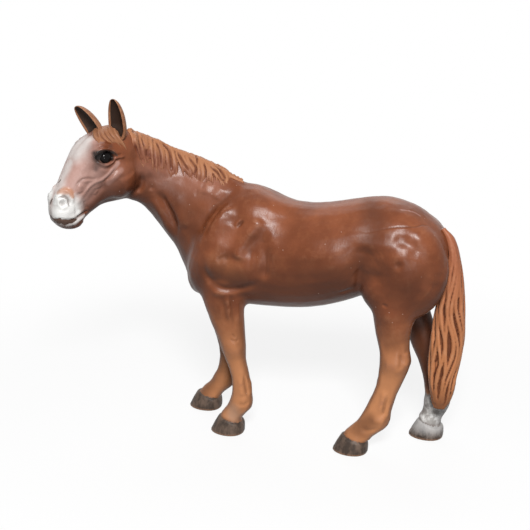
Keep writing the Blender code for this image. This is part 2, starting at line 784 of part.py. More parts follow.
def make_forelock(skin_grown):
    """Locks from the poll, swept over the forehead to the horse's left temple."""
    read = surface_reader(head_rings())
    bm = bmesh.new()
    for path in FORELOCK_PATH_SHARES:
        spots = [read(along, turn * pi / 2) for along, turn in path]
        add_tube(bm, spots, tapered(FORELOCK_RADIUS, FORELOCK_TAPER_SHARE, len(spots)))
    forelock = finish_bmesh(bm, "forelock")
    join_into_skin(forelock, HAIR_VOXEL, HAIR_SMOOTHING, FORELOCK_FACE_SHARE)
    boolean(forelock, skin_grown, "DIFFERENCE")
    return forelock


def make_tail(skin_grown):
    """A hanging tail of wavy strands round a core."""
    root = trunk_place(*TAIL_ROOT_SHARES)
    side = BARREL_WIDTH * TAIL_SIDE_SHARE
    line = [(root.x + TAIL_LENGTH * back, root.y - TAIL_LENGTH * down, TAIL_DEPTH * depth / 2,
             TAIL_WIDTH * width / 2) for back, down, depth, width in TAIL_LINE_SHARES]
    rows = blend_rows(line, RING_STEPS)
    bm = bmesh.new()
    core = [[Vector((x + depth * TAIL_CORE_SHARE * cos(2 * pi * k / SIDES),
                     side + width * TAIL_CORE_SHARE * sin(2 * pi * k / SIDES), z))
             for k in range(SIDES)] for x, z, depth, width in rows]
    add_loft(bm, core)
    last = len(rows) - 1
    out = 1 - TAIL_STRAND_RADIUS / TAIL_DEPTH
    root_share, growth_share = TAIL_ROOT_THICKNESS_SHARES
    for strand in range(TAIL_STRANDS):
        start = 2 * pi * strand / TAIL_STRANDS
        end = last - strand % TAIL_END_STAGGER
        spots = []
        radii = []
        for k in range(1, end + 1):
            x, z, depth, width = rows[k]
            turn = start + TAIL_TWIST * sin(2 * pi * k / last + strand)
            x += TAIL_WAVE * sin(2 * pi * TAIL_WAVES * k / last + strand * TAIL_WAVE_TURN)
            spots.append(Vector((x + depth * out * cos(turn), side + width * out * sin(turn), z)))
            thickness = min(1, root_share + growth_share * depth / TAIL_DEPTH)
            radii.append(TAIL_STRAND_RADIUS * thickness * (1 - TAIL_TAPER_SHARE * (k / end) ** 3))
        add_tube(bm, spots, radii)
    tail = finish_bmesh(bm, "tail")
    join_into_skin(tail, HAIR_VOXEL, HAIR_SMOOTHING, TAIL_FACE_SHARE)
    boolean(tail, skin_grown, "DIFFERENCE")
    return tail


def turn_head(obj):
    """Bend a piece of the straight neck or head about upright lines, to the horse's left."""
    start_x = WITHERS.x - TURN_START
    ways = np.linspace(0, TURN_LENGTH, TURN_READINGS)
    share = ways / TURN_LENGTH
    turns = HEAD_TURN * share ** 2 * (3 - 2 * share)
    gaps = np.diff(ways)
    line_x = np.concatenate(([0], np.cumsum((np.cos(turns[1:]) + np.cos(turns[:-1])) / 2 * gaps)))
    line_y = np.concatenate(([0], np.cumsum((np.sin(turns[1:]) + np.sin(turns[:-1])) / 2 * gaps)))
    for vert in obj.data.vertices:
        way = start_x - vert.co.x
        if way <= 0:
            continue
        beyond = max(way - TURN_LENGTH, 0)
        way = min(way, TURN_LENGTH)
        turn = np.interp(way, ways, turns)
        ahead = np.interp(way, ways, line_x) + beyond * cos(turn)
        aside = np.interp(way, ways, line_y) + beyond * sin(turn)
        vert.co.x, vert.co.y = (start_x - ahead - vert.co.y * sin(turn),
                                vert.co.y * cos(turn) - aside)


def paint(name, colour, roughness):
    """A moulded plastic finish."""
    material = bpy.data.materials.new(name)
    material.use_nodes = True
    shader = material.node_tree.nodes["Principled BSDF"]
    shader.inputs["Base Color"].default_value = (*colour, 1)
    shader.inputs["Roughness"].default_value = roughness
    shader.inputs["Metallic"].default_value = 0
    return material


CHESTNUT = (0.20, 0.062, 0.026)
TAN = (0.36, 0.145, 0.060)
FACE = (0.24, 0.085, 0.045)
HAIR = (0.34, 0.130, 0.055)
HORN = (0.070, 0.052, 0.042)
GLOSS_BLACK = (0.008, 0.007, 0.006)

# The breast follows the first few degrees of the turn, so that the trunk's face stays one gap
# from the neck's
TURNING_PIECES = ("trunk", "neck", "head", "mane", "forelock", "left_ear", "right_ear",
                  "left_eye", "right_eye")

# Each node's colour and roughness
COLOURS = {
    "trunk": (CHESTNUT, 0.42), "neck": (CHESTNUT, 0.42), "head": (FACE, 0.42),
    "left_ear": (HAIR, 0.45), "right_ear": (HAIR, 0.45),
    "mane": (HAIR, 0.48), "forelock": (HAIR, 0.48), "tail": (HAIR, 0.48),
    "left_foreleg": (TAN, 0.42), "right_foreleg": (TAN, 0.42),
    "left_hindleg": (TAN, 0.42), "right_hindleg": (TAN, 0.42),
    "left_fore_hoof": (HORN, 0.5), "right_fore_hoof": (HORN, 0.5),
    "left_hind_hoof": (HORN, 0.5), "right_hind_hoof": (HORN, 0.5),
    "left_eye": (GLOSS_BLACK, 0.12), "right_eye": (GLOSS_BLACK, 0.12),
}


def build():
    """Build every piece, turn the head and stand the horse on the origin."""
    for obj in list(bpy.data.objects):
        remove(obj)
    skin = make_skin()
    grown = copy_of(skin, "grown")
    grow(grown, PART_GAP)

    pieces = {
        "mane": make_mane(grown),
        "forelock": make_forelock(grown),
        "tail": make_tail(grown),
        "left_ear": make_ear("left_ear", -1, LEFT_EAR_SHARES, LEFT_EAR_LEAN),
        "right_ear": make_ear("right_ear", 1, RIGHT_EAR_SHARES, RIGHT_EAR_LEAN),
    }
    for name in ("left_ear", "right_ear"):
        boolean(pieces[name], grown, "DIFFERENCE")
        for hair in ("forelock", "mane"):
            sink(pieces[hair], pieces[name])
    sink(pieces["mane"], pieces["forelock"])
    remove(grown)

    for name, (high, low) in (("head", HEAD_LINE_SHARES), ("neck", NECK_LINE_SHARES)):
        pieces[name] = split(skin, neck_place(*high), neck_place(*low), name)
    pieces["trunk"] = skin
    for name, leg in part_legs(skin).items():
        _, foot_x, foot_y, _, _, _ = LEGS[name]
        cut_coronet(leg, foot_x)
        hoof_name = name.replace("foreleg", "fore_hoof").replace("hindleg", "hind_hoof")
        pieces[name] = leg
        pieces[hoof_name] = make_hoof(hoof_name, foot_x, foot_y)
    for name, side in (("left_eye", -1), ("right_eye", 1)):
        pieces[name] = make_eye(name, side)
        sink(pieces["head"], pieces[name])
    open_nostrils(pieces["head"])

    for name in TURNING_PIECES:
        turn_head(pieces[name])

    corners = np.array([vert.co for obj in pieces.values() for vert in obj.data.vertices])
    low, high = corners.min(axis=0), corners.max(axis=0)
    shift = Vector((-(low[0] + high[0]) / 2, -(low[1] + high[1]) / 2, -low[2]))
    for name, obj in pieces.items():
        obj.name = name
        obj.data.name = name
        obj.data.transform(Matrix.Translation(shift))
        drop_specks(obj)
        colour, roughness = COLOURS[name]
        obj.data.materials.clear()
        obj.data.materials.append(paint(name, colour, roughness))
        obj.data.shade_smooth()
        obj.data.set_sharp_from_angle(angle=SHARP_ANGLE)


build()
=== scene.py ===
"""Toy farm horse: the moulded skin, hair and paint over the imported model.

Metres, +Z up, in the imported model's frame. The head points to -X and the horse's left is -Y.
The trunk, neck, head, legs and hooves are melted into one skin, which is sculpted and painted
with strokes placed by pixels of the 530 x 530 photograph, and is then parted into one piece for
each node again. Strokes on the near side are repeated on the far side.
"""
import logging
from dataclasses import dataclass
from enum import Enum
from math import cos, pi, radians, sin, tau

import bmesh
import bpy
import numpy as np
from mathutils import Matrix, Vector
from mathutils.bvhtree import BVHTree


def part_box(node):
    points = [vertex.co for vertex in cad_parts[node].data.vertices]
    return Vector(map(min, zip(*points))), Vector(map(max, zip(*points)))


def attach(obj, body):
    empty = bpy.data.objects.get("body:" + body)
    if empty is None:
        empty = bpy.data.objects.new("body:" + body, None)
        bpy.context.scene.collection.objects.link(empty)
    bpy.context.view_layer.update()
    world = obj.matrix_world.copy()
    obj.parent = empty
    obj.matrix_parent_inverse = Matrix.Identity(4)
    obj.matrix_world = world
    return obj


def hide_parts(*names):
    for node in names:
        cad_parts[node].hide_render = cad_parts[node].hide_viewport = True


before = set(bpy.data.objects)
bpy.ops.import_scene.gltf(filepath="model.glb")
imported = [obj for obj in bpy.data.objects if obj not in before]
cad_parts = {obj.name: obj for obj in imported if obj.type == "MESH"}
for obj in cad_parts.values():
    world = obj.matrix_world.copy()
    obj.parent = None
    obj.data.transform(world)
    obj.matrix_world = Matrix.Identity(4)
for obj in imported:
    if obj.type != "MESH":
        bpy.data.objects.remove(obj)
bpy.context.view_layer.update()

MM = 0.001
TINY = 1e-12
PHOTO_WIDTH = 530
BODY = "root"
LOG = logging.getLogger("toy_horse")

Pixel = tuple[float, float]
Colour = tuple[float, float, float]


class Side(Enum):
    """A side of the horse, as the sign of Y."""
    LEFT = -1
    RIGHT = 1


class Field(Enum):
    """What is painted on the skin, point by point."""
    # Dark paint in the creases together with painted shade: in hollows, under the body, on the legs' edges,
    # over the far legs and in the nostrils.
    WASH = "wash"
    RIDGE = "ridge"
    WHITE = "white"
    SOOT = "soot"
    TAN = "tan"
    PALE = "pale"
    BLUSH = "blush"
    FADE = "fade"
    LIP = "lip"
    RUST = "rust"
    SOCK = "sock"


SKIN_NODES = ("trunk", "neck", "head", "left_foreleg", "right_foreleg", "left_hindleg",
              "right_hindleg")
HOOF_NODES = ("left_fore_hoof", "right_fore_hoof", "left_hind_hoof", "right_hind_hoof")
EYE_NODES = ("left_eye", "right_eye")
LEG_TWINS = {"left_foreleg": "right_foreleg", "left_hindleg": "right_hindleg"}


def smoothstep(low: float, high: float, values: np.ndarray) -> np.ndarray:
    """Ease values from 0 at low to 1 at high.

    Args:
        low: The value that gives 0.
        high: The value that gives 1; it may be below low.
        values: The values to ease.

    Returns:
        The eased values, from 0 to 1.
    """
    share = np.clip((values - low) / (high - low), 0, 1)
    return share * share * (3 - 2 * share)


def smooth_line(points: np.ndarray, steps: int) -> np.ndarray:
    """Pass a smooth curve through points.

    Args:
        points: The points, one in a row, with any number of columns.
        steps: How many pieces each stretch between two points is cut into.

    Returns:
        The curve's points, one in a row.
    """
    points = np.asarray(points, float)
    padded = np.vstack((2 * points[0] - points[1], points, 2 * points[-1] - points[-2]))
    line = []
    for before, start, end, after in zip(padded, padded[1:], padded[2:], padded[3:]):
        for share in np.linspace(0, 1, steps, endpoint=False):
            line.append((2 * start + (end - before) * share
                         + (2 * before - 5 * start + 4 * end - after) * share ** 2
                         + (3 * start - before - 3 * end + after) * share ** 3) / 2)
    line.append(points[-1])
    return np.array(line)


def unit(vector: np.ndarray) -> np.ndarray:
    """Scale a vector, or each row of vectors, to length one."""
    return vector / np.maximum(np.linalg.norm(vector, axis=-1, keepdims=True), TINY)


def mesh_points(mesh: bpy.types.Mesh) -> np.ndarray:
    """Read a mesh's corners.

    Args:
        mesh: The mesh to read.

    Returns:
        The corners, one in a row.
    """
    points = np.empty(len(mesh.vertices) * 3)
    mesh.vertices.foreach_get("co", points)
    return points.reshape(-1, 3)


def node_points(node: str) -> np.ndarray:
    """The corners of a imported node, one in a row."""
    return mesh_points(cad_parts[node].data)


def away(azimuth: float, elevation: float) -> Vector:
    """The unit vector from the figure to something at an azimuth and elevation in radians."""
    return Vector((sin(azimuth) * cos(elevation), -cos(azimuth) * cos(elevation), sin(elevation)))


@dataclass(frozen=True)
class Sight:
    """The camera that took the photograph, as far as the figure's outline tells."""
    azimuth: float = radians(15)
    elevation: float = radians(18)
    distance: float = 340 * MM
    view_width: float = 171 * MM
    behind_hoof: float = 16.77 * MM
    aside_of_hoof: float = 7.1 * MM
    height: float = 57 * MM
    sensor_width: float = 36

    def target(self) -> Vector:
        """The point that the camera looks at, set off from the left fore hoof."""
        low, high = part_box("left_fore_hoof")
        return Vector((low.x + self.behind_hoof, (low.y + high.y) / 2 + self.aside_of_hoof,
                       self.height))

    def axes(self) -> tuple[Vector, Vector, Vector]:
        """Work out how the camera stands.

        Returns:
            The unit vectors to the right, up and back of the camera.
        """
        back = away(self.azimuth, self.elevation)
        right = Vector((cos(self.azimuth), sin(self.azimuth), 0))
        return right, back.cross(right), back

    def ray(self, pixel: Pixel) -> tuple[Vector, Vector]:
        """Find the line of sight through a pixel.

        Args:
            pixel: The place in the photograph.

        Returns:
            The line's start and its direction.
        """
        right, up, back = self.axes()
        scale = self.view_width / PHOTO_WIDTH / self.distance
        across = (pixel[0] - PHOTO_WIDTH / 2) * scale
        rise = (PHOTO_WIDTH / 2 - pixel[1]) * scale
        return self.target() + back * self.distance, (right * across + up * rise - back).normalized()

    def make_camera(self) -> None:
        """Add the camera and make it the scene's own."""
        data = bpy.data.cameras.new("camera")
        data.sensor_width = self.sensor_width
        data.lens = self.sensor_width * self.distance / self.view_width
        data.clip_start = self.distance / 100
        camera = bpy.data.objects.new("camera", data)
        bpy.context.scene.collection.objects.link(camera)
        _, _, back = self.axes()
        camera.location = self.target() + back * self.distance
        camera.rotation_euler = back.to_track_quat("Z", "Y").to_euler()
        bpy.context.scene.camera = camera


@dataclass(frozen=True)
class NeckTurn:
    """How the neck and head are turned to the left, as the construction does it."""
    angle: float = radians(52)
    length: float = 34 * MM
    ahead_of_hoof: float = 1.23 * MM
    beside_hoof: float = 7.1 * MM
    readings: int = 300
    search_rounds: int = 30
    search_step: float = 0.8

    def start(self) -> float:
        """Where along X the turn starts."""
        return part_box("left_fore_hoof")[0].x - self.ahead_of_hoof

    def middle(self) -> float:
        """Where along Y the trunk's middle plane lies."""
        low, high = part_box("left_fore_hoof")
        return (low.y + high.y) / 2 + self.beside_hoof

    def line(self, way: np.ndarray) -> tuple[np.ndarray, np.ndarray, np.ndarray]:
        """Read the turned middle line.

        Args:
            way: How far ahead of the start each reading lies, along the line.

        Returns:
            How far ahead, how far to the left and how much turned the line is there.
        """
        ways = np.linspace(0, self.length, self.readings)
        share = ways / self.length
        turns = self.angle * share ** 2 * (3 - 2 * share)
        gaps = np.diff(ways)
        ahead = np.concatenate(([0], np.cumsum((np.cos(turns[1:]) + np.cos(turns[:-1])) / 2 * gaps)))
        aside = np.concatenate(([0], np.cumsum((np.sin(turns[1:]) + np.sin(turns[:-1])) / 2 * gaps)))
        inside = np.clip(way, 0, self.length)
        turn = np.interp(inside, ways, turns)
        beyond = np.maximum(way - self.length, 0)
        return (np.interp(inside, ways, ahead) + beyond * np.cos(turn),
                np.interp(inside, ways, aside) + beyond * np.sin(turn), turn)

    def bend(self, points: np.ndarray) -> np.ndarray:
        """Turn the neck and head of the straight horse.

        Args:
            points: Points whose Y is measured from the horse's middle plane.

        Returns:
            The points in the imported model's frame.
        """
        points = np.array(points, float)
        way = self.start() - points[:, 0]
        ahead, aside, turn = self.line(np.maximum(way, 0))
        bent = points.copy()
        moved = way > 0
        bent[moved, 0] = (self.start() - ahead - points[:, 1] * np.sin(turn))[moved]
        bent[moved, 1] = (points[:, 1] * np.cos(turn) - aside)[moved]
        bent[:, 1] += self.middle()
        return bent

    def straighten(self, points: np.ndarray) -> np.ndarray:
        """Undo the turn.

        Args:
            points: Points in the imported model's frame.

        Returns:
            The points of the straight horse, with Y measured from its middle plane.
        """
        points = np.array(points, float)
        across = points[:, 1] - self.middle()
        reach = self.start() - points[:, 0]
        way = np.maximum(reach, 0)
        for _ in range(self.search_rounds):
            ahead, aside, turn = self.line(way)
            miss = (reach - ahead) * np.cos(turn) + (-across - aside) * np.sin(turn)
            way = np.maximum(way + self.search_step * miss, 0)
        ahead, aside, turn = self.line(way)
        offset = (reach - ahead) * np.sin(turn) + (across + aside) * np.cos(turn)
        straight = points.copy()
        turned = way > 0
        straight[:, 1] = np.where(turned, offset, across)
        straight[turned, 0] = self.start() - way[turned]
        return straight


SMOOTH_SHARE = 0.5
SWELL_SHARE = -0.52


class Clay:
    """A mesh that is being sculpted, with its points, neighbours and painted fields."""

    def __init__(self, mesh: bpy.types.Mesh) -> None:
        """Read a mesh into arrays.

        Args:
            mesh: The mesh to sculpt; it is changed.
        """
        self.mesh = mesh
        self.points = mesh_points(mesh)
        edges = np.empty(len(mesh.edges) * 2, int)
        mesh.edges.foreach_get("vertices", edges)
        self.first, self.second = edges.reshape(-1, 2).T
        self.links = np.bincount(edges, minlength=len(self.points)).astype(float)
        self.fields: dict[Field, np.ndarray] = {}

    def normals(self) -> np.ndarray:
        """Put the points into the mesh and read its normals.

        Returns:
            A unit normal for each point.
        """
        self.mesh.vertices.foreach_set("co", self.points.ravel())
        self.mesh.update()
        normals = np.empty(len(self.points) * 3)
        self.mesh.vertex_normals.foreach_get("vector", normals)
        return normals.reshape(-1, 3)

    def mean_around(self, values: np.ndarray) -> np.ndarray:
        """Average each point's neighbours.

        Args:
            values: One or more columns of values, with a row for each point.

        Returns:
            The averages, in the same shape.
        """
        count = len(self.points)
        columns = values.reshape(count, -1)
        sums = [np.bincount(self.first, column[self.second], count)
                + np.bincount(self.second, column[self.first], count) for column in columns.T]
        return (np.array(sums) / self.links).T.reshape(values.shape)

    def relax(self, rounds: int, keep: np.ndarray | None = None) -> None:
        """Smooth the points without shrinking the shape.

        Args:
            rounds: How many times to smooth and swell back.
            keep: How free each point is to move, from 0 to 1, or None for all of them.
        """
        free = 1 if keep is None else keep[:, None]
        for _ in range(rounds):
            for share in (SMOOTH_SHARE, SWELL_SHARE):
                self.points += (self.mean_around(self.points) - self.points) * share * free

    def hollowness(self, rounds: int, normals: np.ndarray) -> np.ndarray:
        """Measure how far each point lies below its smoothed surroundings.

        Args:
            rounds: How many times the surroundings are smoothed; more see broader hollows.
            normals: A unit normal for each point.

        Returns:
            The depths in metres, negative on ridges.
        """
        smoothed = self.points
        for _ in range(rounds):
            smoothed = self.mean_around(smoothed)
        return ((smoothed - self.points) * normals).sum(axis=1)

    def field(self, name: Field) -> np.ndarray:
        """A painted field, made blank at its first use."""
        return self.fields.setdefault(name, np.zeros(len(self.points)))


@dataclass(frozen=True)
class Stroke:
    """A groove or a ridge drawn on the skin along pixels of the photograph.

    Args:
        pixels: The line, as it shows in the photograph.
        width: Half of its width, in millimetres.
        height: How far it stands out, or how deep it goes where negative, in millimetres.
        wash: How much dark paint fills it; in the hollows under the shoulder, at the hip and in the flank
            this is painted shade.
        taper: The share of its length over which each end fades.
        twin: Whether the far side has it too.
    """
    pixels: tuple[Pixel, ...]
    width: float
    height: float
    wash: float = 0
    taper: float = 0.3
    twin: bool = True


@dataclass(frozen=True)
class Dab:
    """Paint laid on the skin along pixels of the photograph.

    Args:
        field: What is painted.
        spots: Pixels, each with the brush's radius there in millimetres.
        strength: How much paint is laid in the middle.
        soft: The share of the radius over which the edge fades.
        twin: Whether the far side has it too.
    """
    field: Field
    spots: tuple[tuple[float, float, float], ...]
    strength: float = 1
    soft: float = 0.6
    twin: bool = True


class Tracer:
    """Finds the places on the skin that pixels of the photograph show."""
    leg_levels = 14
    leg_slice = 2.2 * MM
    search_depths = np.linspace(0.75, 1.25, 81)

    def __init__(self, clay: Clay, sight: Sight, turn: NeckTurn) -> None:
        """Prepare search trees over the skin.

        Args:
            clay: The skin.
            sight: The camera that took the photograph.
            turn: How the neck is turned.
        """
        self.sight = sight
        self.turn = turn
        faces = [face.vertices[:] for face in clay.mesh.polygons]
        self.tree = BVHTree.FromPolygons(clay.points.tolist(), faces)
        straight = turn.straighten(clay.points)
        self.straight_tree = BVHTree.FromPolygons(straight.tolist(), faces)
        self.legs = {leg: self.leg_line(leg) for pair in LEG_TWINS.items() for leg in pair}

    def leg_line(self, leg: str) -> np.ndarray:
        """Find a leg's middle line.

        Args:
            leg: The leg's node.

        Returns:
            Rows of height, X and Y, from the ground up.
        """
        points = node_points(leg)
        levels = np.linspace(points[:, 2].min() + 2 * MM, points[:, 2].max() - MM, self.leg_levels)
        rows = []
        for level in levels:
            near = points[abs(points[:, 2] - level) < self.leg_slice]
            rows.append((level, (near[:, 0].min() + near[:, 0].max()) / 2,
                         (near[:, 1].min() + near[:, 1].max()) / 2))
        return np.array(rows)

    def touch(self, pixel: Pixel) -> Vector:
        """Find what a pixel shows.

        Args:
            pixel: The place in the photograph.

        Returns:
            The point of the skin there, or the nearest one where the pixel misses the skin.
        """
        start, way = self.sight.ray(pixel)
        hit, _, _, _ = self.tree.ray_cast(start, way)
        if hit is not None:
            return hit
        spots = [start + way * self.sight.distance * share for share in self.search_depths]
        finds = [self.tree.find_nearest(spot) for spot in spots]
        return min(finds, key=lambda find: find[3])[0]

    def settle(self, points: np.ndarray) -> tuple[np.ndarray, np.ndarray]:
        """Move points onto the skin and read its normals there."""
        finds = [self.tree.find_nearest(Vector(point)) for point in points]
        return np.array([find[0] for find in finds]), np.array([find[1] for find in finds])

    def trace(self, pixels: tuple[Pixel, ...], steps: int = 4) -> np.ndarray:
        """The line on the skin that runs through the pixels."""
        touched = np.array([self.touch(pixel) for pixel in pixels])
        return smooth_line(touched, steps) if len(touched) > 1 else touched

    def twin(self, points: np.ndarray) -> np.ndarray:
        """Repeat places of the near side on the far side.

        Args:
            points: Places on the near side.

        Returns:
            The far side's places, mirrored by the trunk's or the leg's own middle.
        """
        heights = points[:, 2]
        for near_leg, far_leg in LEG_TWINS.items():
            near, far = self.legs[near_leg], self.legs[far_leg]
            low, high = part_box(near_leg)
            middle = points.mean(axis=0)
            if low.x <= middle[0] <= high.x and middle[2] < high.z:
                twin = points.copy()
                for axis, sign in ((0, 1), (1, -1)):
                    column = axis + 1
                    offset = points[:, axis] - np.interp(heights, near[:, 0], near[:, column])
                    twin[:, axis] = np.interp(heights, far[:, 0], far[:, column]) + sign * offset
                return twin
        straight = self.turn.straighten(points)
        straight[:, 1] *= -1
        return self.turn.bend(straight)


def along_line(points: np.ndarray, line: np.ndarray) -> tuple[np.ndarray, np.ndarray]:
    """Measure points against a line of straight stretches.

    Args:
        points: The points to measure, one in a row.
        line: The line's points, one in a row.

    Returns:
        Each point's distance and its position along the line as a number of stretches.
    """
    if len(line) == 1:
        return np.linalg.norm(points - line[0], axis=1), np.zeros(len(points))
    best = np.full(len(points), np.inf)
    position = np.zeros(len(points))
    for k, (start, end) in enumerate(zip(line, line[1:])):
        way = end - start
        share = np.clip((points - start) @ way / max(way @ way, 1e-18), 0, 1)
        gap = np.linalg.norm(points - start - share[:, None] * way, axis=1)
        closer = gap < best
        best[closer] = gap[closer]
        position[closer] = (k + share)[closer]
    return best, position


class Sculptor:
    """Applies strokes and dabs to the clay."""

    def __init__(self, clay: Clay, tracer: Tracer) -> None:
        """Take the clay as it stands now; strokes and dabs are measured from it, however deep it gets."""
        self.clay = clay
        self.tracer = tracer
        self.places = clay.points.copy()
        self.normals = clay.normals()
        self.lift = np.zeros(len(clay.points))

    def lines(self, pixels: tuple[Pixel, ...], twin: bool) -> list[tuple[np.ndarray, np.ndarray]]:
        """The line that pixels show and, if asked, its twin on the far side, with their normals."""
        near = self.tracer.trace(pixels)
        lines = [self.tracer.settle(near)]
        if twin:
            lines.append(self.tracer.settle(self.tracer.twin(near)))
        return lines

    def near(self, line: np.ndarray, reach: float) -> np.ndarray:
        """The numbers of the clay's points within reach of a line's box."""
        points = self.places
        inside = ((points > line.min(axis=0) - reach) & (points < line.max(axis=0) + reach)).all(axis=1)
        return np.nonzero(inside)[0]

    def stroke(self, stroke: Stroke, relief: float = 1) -> None:
        """Add a stroke's height, times a relief, to the lift, and lay its dark crease paint, which is
        partly painted shade.
        """
        width = stroke.width * MM
        for line, line_normals in self.lines(stroke.pixels, stroke.twin):
            chosen = self.near(line, 3 * width)
            if not len(chosen):
                continue
            gap, position = along_line(self.places[chosen], line)
            last = max(len(line) - 1, 1)
            place = np.minimum(position.astype(int), max(len(line) - 2, 0))
            facing = (self.normals[chosen] * line_normals[place]).sum(axis=1)
            strength = smoothstep(-0.1, 0.45, facing)
            if stroke.taper and len(line) > 1:
                share = position / last
                strength *= smoothstep(0, stroke.taper, share) * smoothstep(1, 1 - stroke.taper, share)
            shape = np.exp(-(gap / width) ** 2)
            self.lift[chosen] += stroke.height * MM * relief * shape * strength
            if stroke.wash:
                wash = self.clay.field(Field.WASH)
                wash[chosen] = np.maximum(wash[chosen], stroke.wash * shape * strength)

    def settle(self) -> None:
        """Move the points by the lift, along their normals, and read the new normals."""
        self.clay.points = self.clay.points + self.normals * self.lift[:, None]
        self.lift[:] = 0
        self.normals = self.clay.normals()

    def dab(self, dab: Dab) -> None:
        """Lay a dab's paint on its field."""
        pixels = tuple((x, y) for x, y, _ in dab.spots)
        radii = np.array([radius for _, _, radius in dab.spots]) * MM
        field = self.clay.field(dab.field)
        for line, line_normals in self.lines(pixels, dab.twin):
            chosen = self.near(line, radii.max() * (1 + dab.soft))
            if not len(chosen):
                continue
            gap, position = along_line(self.places[chosen], line)
            spacing = max(len(line) - 1, 1) / max(len(radii) - 1, 1)
            radius = np.interp(position / spacing, np.arange(len(radii)), radii)
            place = np.minimum(position.astype(int), len(line) - 1)
            facing = (self.normals[chosen] * line_normals[place]).sum(axis=1)
            amount = smoothstep(1 + dab.soft, 1 - dab.soft, gap / radius)
            amount *= dab.strength * smoothstep(-0.3, 0.2, facing)
            field[chosen] = np.maximum(field[chosen], amount)


class Wire:
    """A shader value that takes part in Python expressions."""

    def __init__(self, finish: "Shading", socket: bpy.types.NodeSocket) -> None:
        """Wrap a socket of a node tree."""
        self.finish = finish
        self.socket = socket

    def math(self, operation: str, *others: "Wire | float") -> "Wire":
        """Add a Math node of an operation on this value and others."""
        inputs = {0: self}
        inputs.update({k + 1: other for k, other in enumerate(others)})
        return self.finish.node("ShaderNodeMath", {"operation": operation}, inputs)

    def __add__(self, other: "Wire | float") -> "Wire":
        """Add."""
        return self.math("ADD", other)

    def __radd__(self, other: float) -> "Wire":
        """Add to a number."""
        return self.math("ADD", other)

    def __sub__(self, other: "Wire | float") -> "Wire":
        """Subtract."""
        return self.math("SUBTRACT", other)

    def __rsub__(self, other: float) -> "Wire":
        """Subtract from a number."""
        return (self * -1).math("ADD", other)

    def __mul__(self, other: "Wire | float") -> "Wire":
        """Multiply."""
        return self.math("MULTIPLY", other)

    def __rmul__(self, other: float) -> "Wire":
        """Multiply a number."""
        return self.math("MULTIPLY", other)

    def clamp(self) -> "Wire":
        """Keep between 0 and 1."""
        return self.math("MAXIMUM", 0).math("MINIMUM", 1)

    def ease(self, low: float, high: float) -> "Wire":
        """Ease from 0 at low to 1 at high."""
        return self.finish.node("ShaderNodeMapRange", {"interpolation_type": "SMOOTHSTEP"},
                                {"Value": self, "From Min": low, "From Max": high})


class Shading:
    """A node tree under construction."""

    def __init__(self, tree: bpy.types.NodeTree) -> None:
        """Take a material's or a world's node tree."""
        self.tree = tree

    def node(self, kind: str, settings: dict | None = None, inputs: dict | None = None,
             output: int | str = 0) -> Wire:
        """Add a node.

        Args:
            kind: The node's type.
            settings: Its properties, which are set first.
            inputs: Values or wires for its sockets, by name or number.
            output: The output to return, by name or number.

        Returns:
            The wire of the chosen output.
        """
        node = self.tree.nodes.new(kind)
        for key, value in (settings or {}).items():
            setattr(node, key, value)
        for key, value in (inputs or {}).items():
            self.plug(node.inputs[key], value)
        return Wire(self, node.outputs[output])

    def plug(self, socket: bpy.types.NodeSocket, value: "Wire | float | tuple") -> None:
        """Link a wire to a socket, or set the socket to a plain value."""
        if isinstance(value, Wire):
            self.tree.links.new(value.socket, socket)
        elif socket.type == "RGBA" and len(value) == 3:
            socket.default_value = (*value, 1)
        else:
            socket.default_value = value

    def place(self, scale: tuple[float, float, float] = (1, 1, 1)) -> Wire:
        """Places on the figure in metres, stretched by a scale along each axis."""
        spot = self.node("ShaderNodeTexCoord", output="Object")
        return self.node("ShaderNodeMapping", None, {"Vector": spot, "Scale": scale})

    def noise(self, size: float, detail: float = 3, stretch: tuple[float, float, float] = (1, 1, 1),
              rough: float = 0.5) -> Wire:
        """Noise whose blotches are about a size in metres, from 0 to 1."""
        return self.node("ShaderNodeTexNoise", None, {
            "Vector": self.place(stretch), "Scale": 1 / size, "Detail": detail, "Roughness": rough})

    def mix(self, share: "Wire | float", first: "Wire | Colour", second: "Wire | Colour") -> Wire:
        """Mix two colours."""
        return self.node("ShaderNodeMix", {"data_type": "RGBA"}, {0: share, 6: first, 7: second}, 2)

    def seen(self) -> Wire:
        """One where the camera, a reflection or a see-through piece looks, and otherwise nought."""
        rays = [self.node("ShaderNodeLightPath", output=f"Is {kind} Ray")
                for kind in ("Camera", "Glossy", "Transmission")]
        return rays[0].math("MAXIMUM", rays[1]).math("MAXIMUM", rays[2])


class Finish(Shading):
    """A material under construction."""

    def __init__(self, name: str) -> None:
        """Start a material with its Principled shader."""
        self.material = bpy.data.materials.new(name)
        self.material.use_nodes = True
        super().__init__(self.material.node_tree)
        self.shader = self.tree.nodes["Principled BSDF"]

    def painted(self, field: Field) -> Wire:
        """A field painted on the skin."""
        return self.node("ShaderNodeAttribute", {"attribute_name": field.value}, output="Fac")

    def bump(self, height: Wire, depth: float, under: Wire | None = None) -> Wire:
        """Raise the surface by a height times a depth in metres, on top of another bump."""
        inputs = {"Height": height, "Distance": depth, "Strength": 1.0}
        if under is not None:
            inputs["Normal"] = under
        return self.node("ShaderNodeBump", None, inputs)

    def surface(self, **sockets: "Wire | float | tuple") -> None:
        """Plug values into the Principled shader; an underscore in a name stands for a space."""
        for name, value in sockets.items():
            self.plug(self.shader.inputs[name.replace("_", " ")], value)


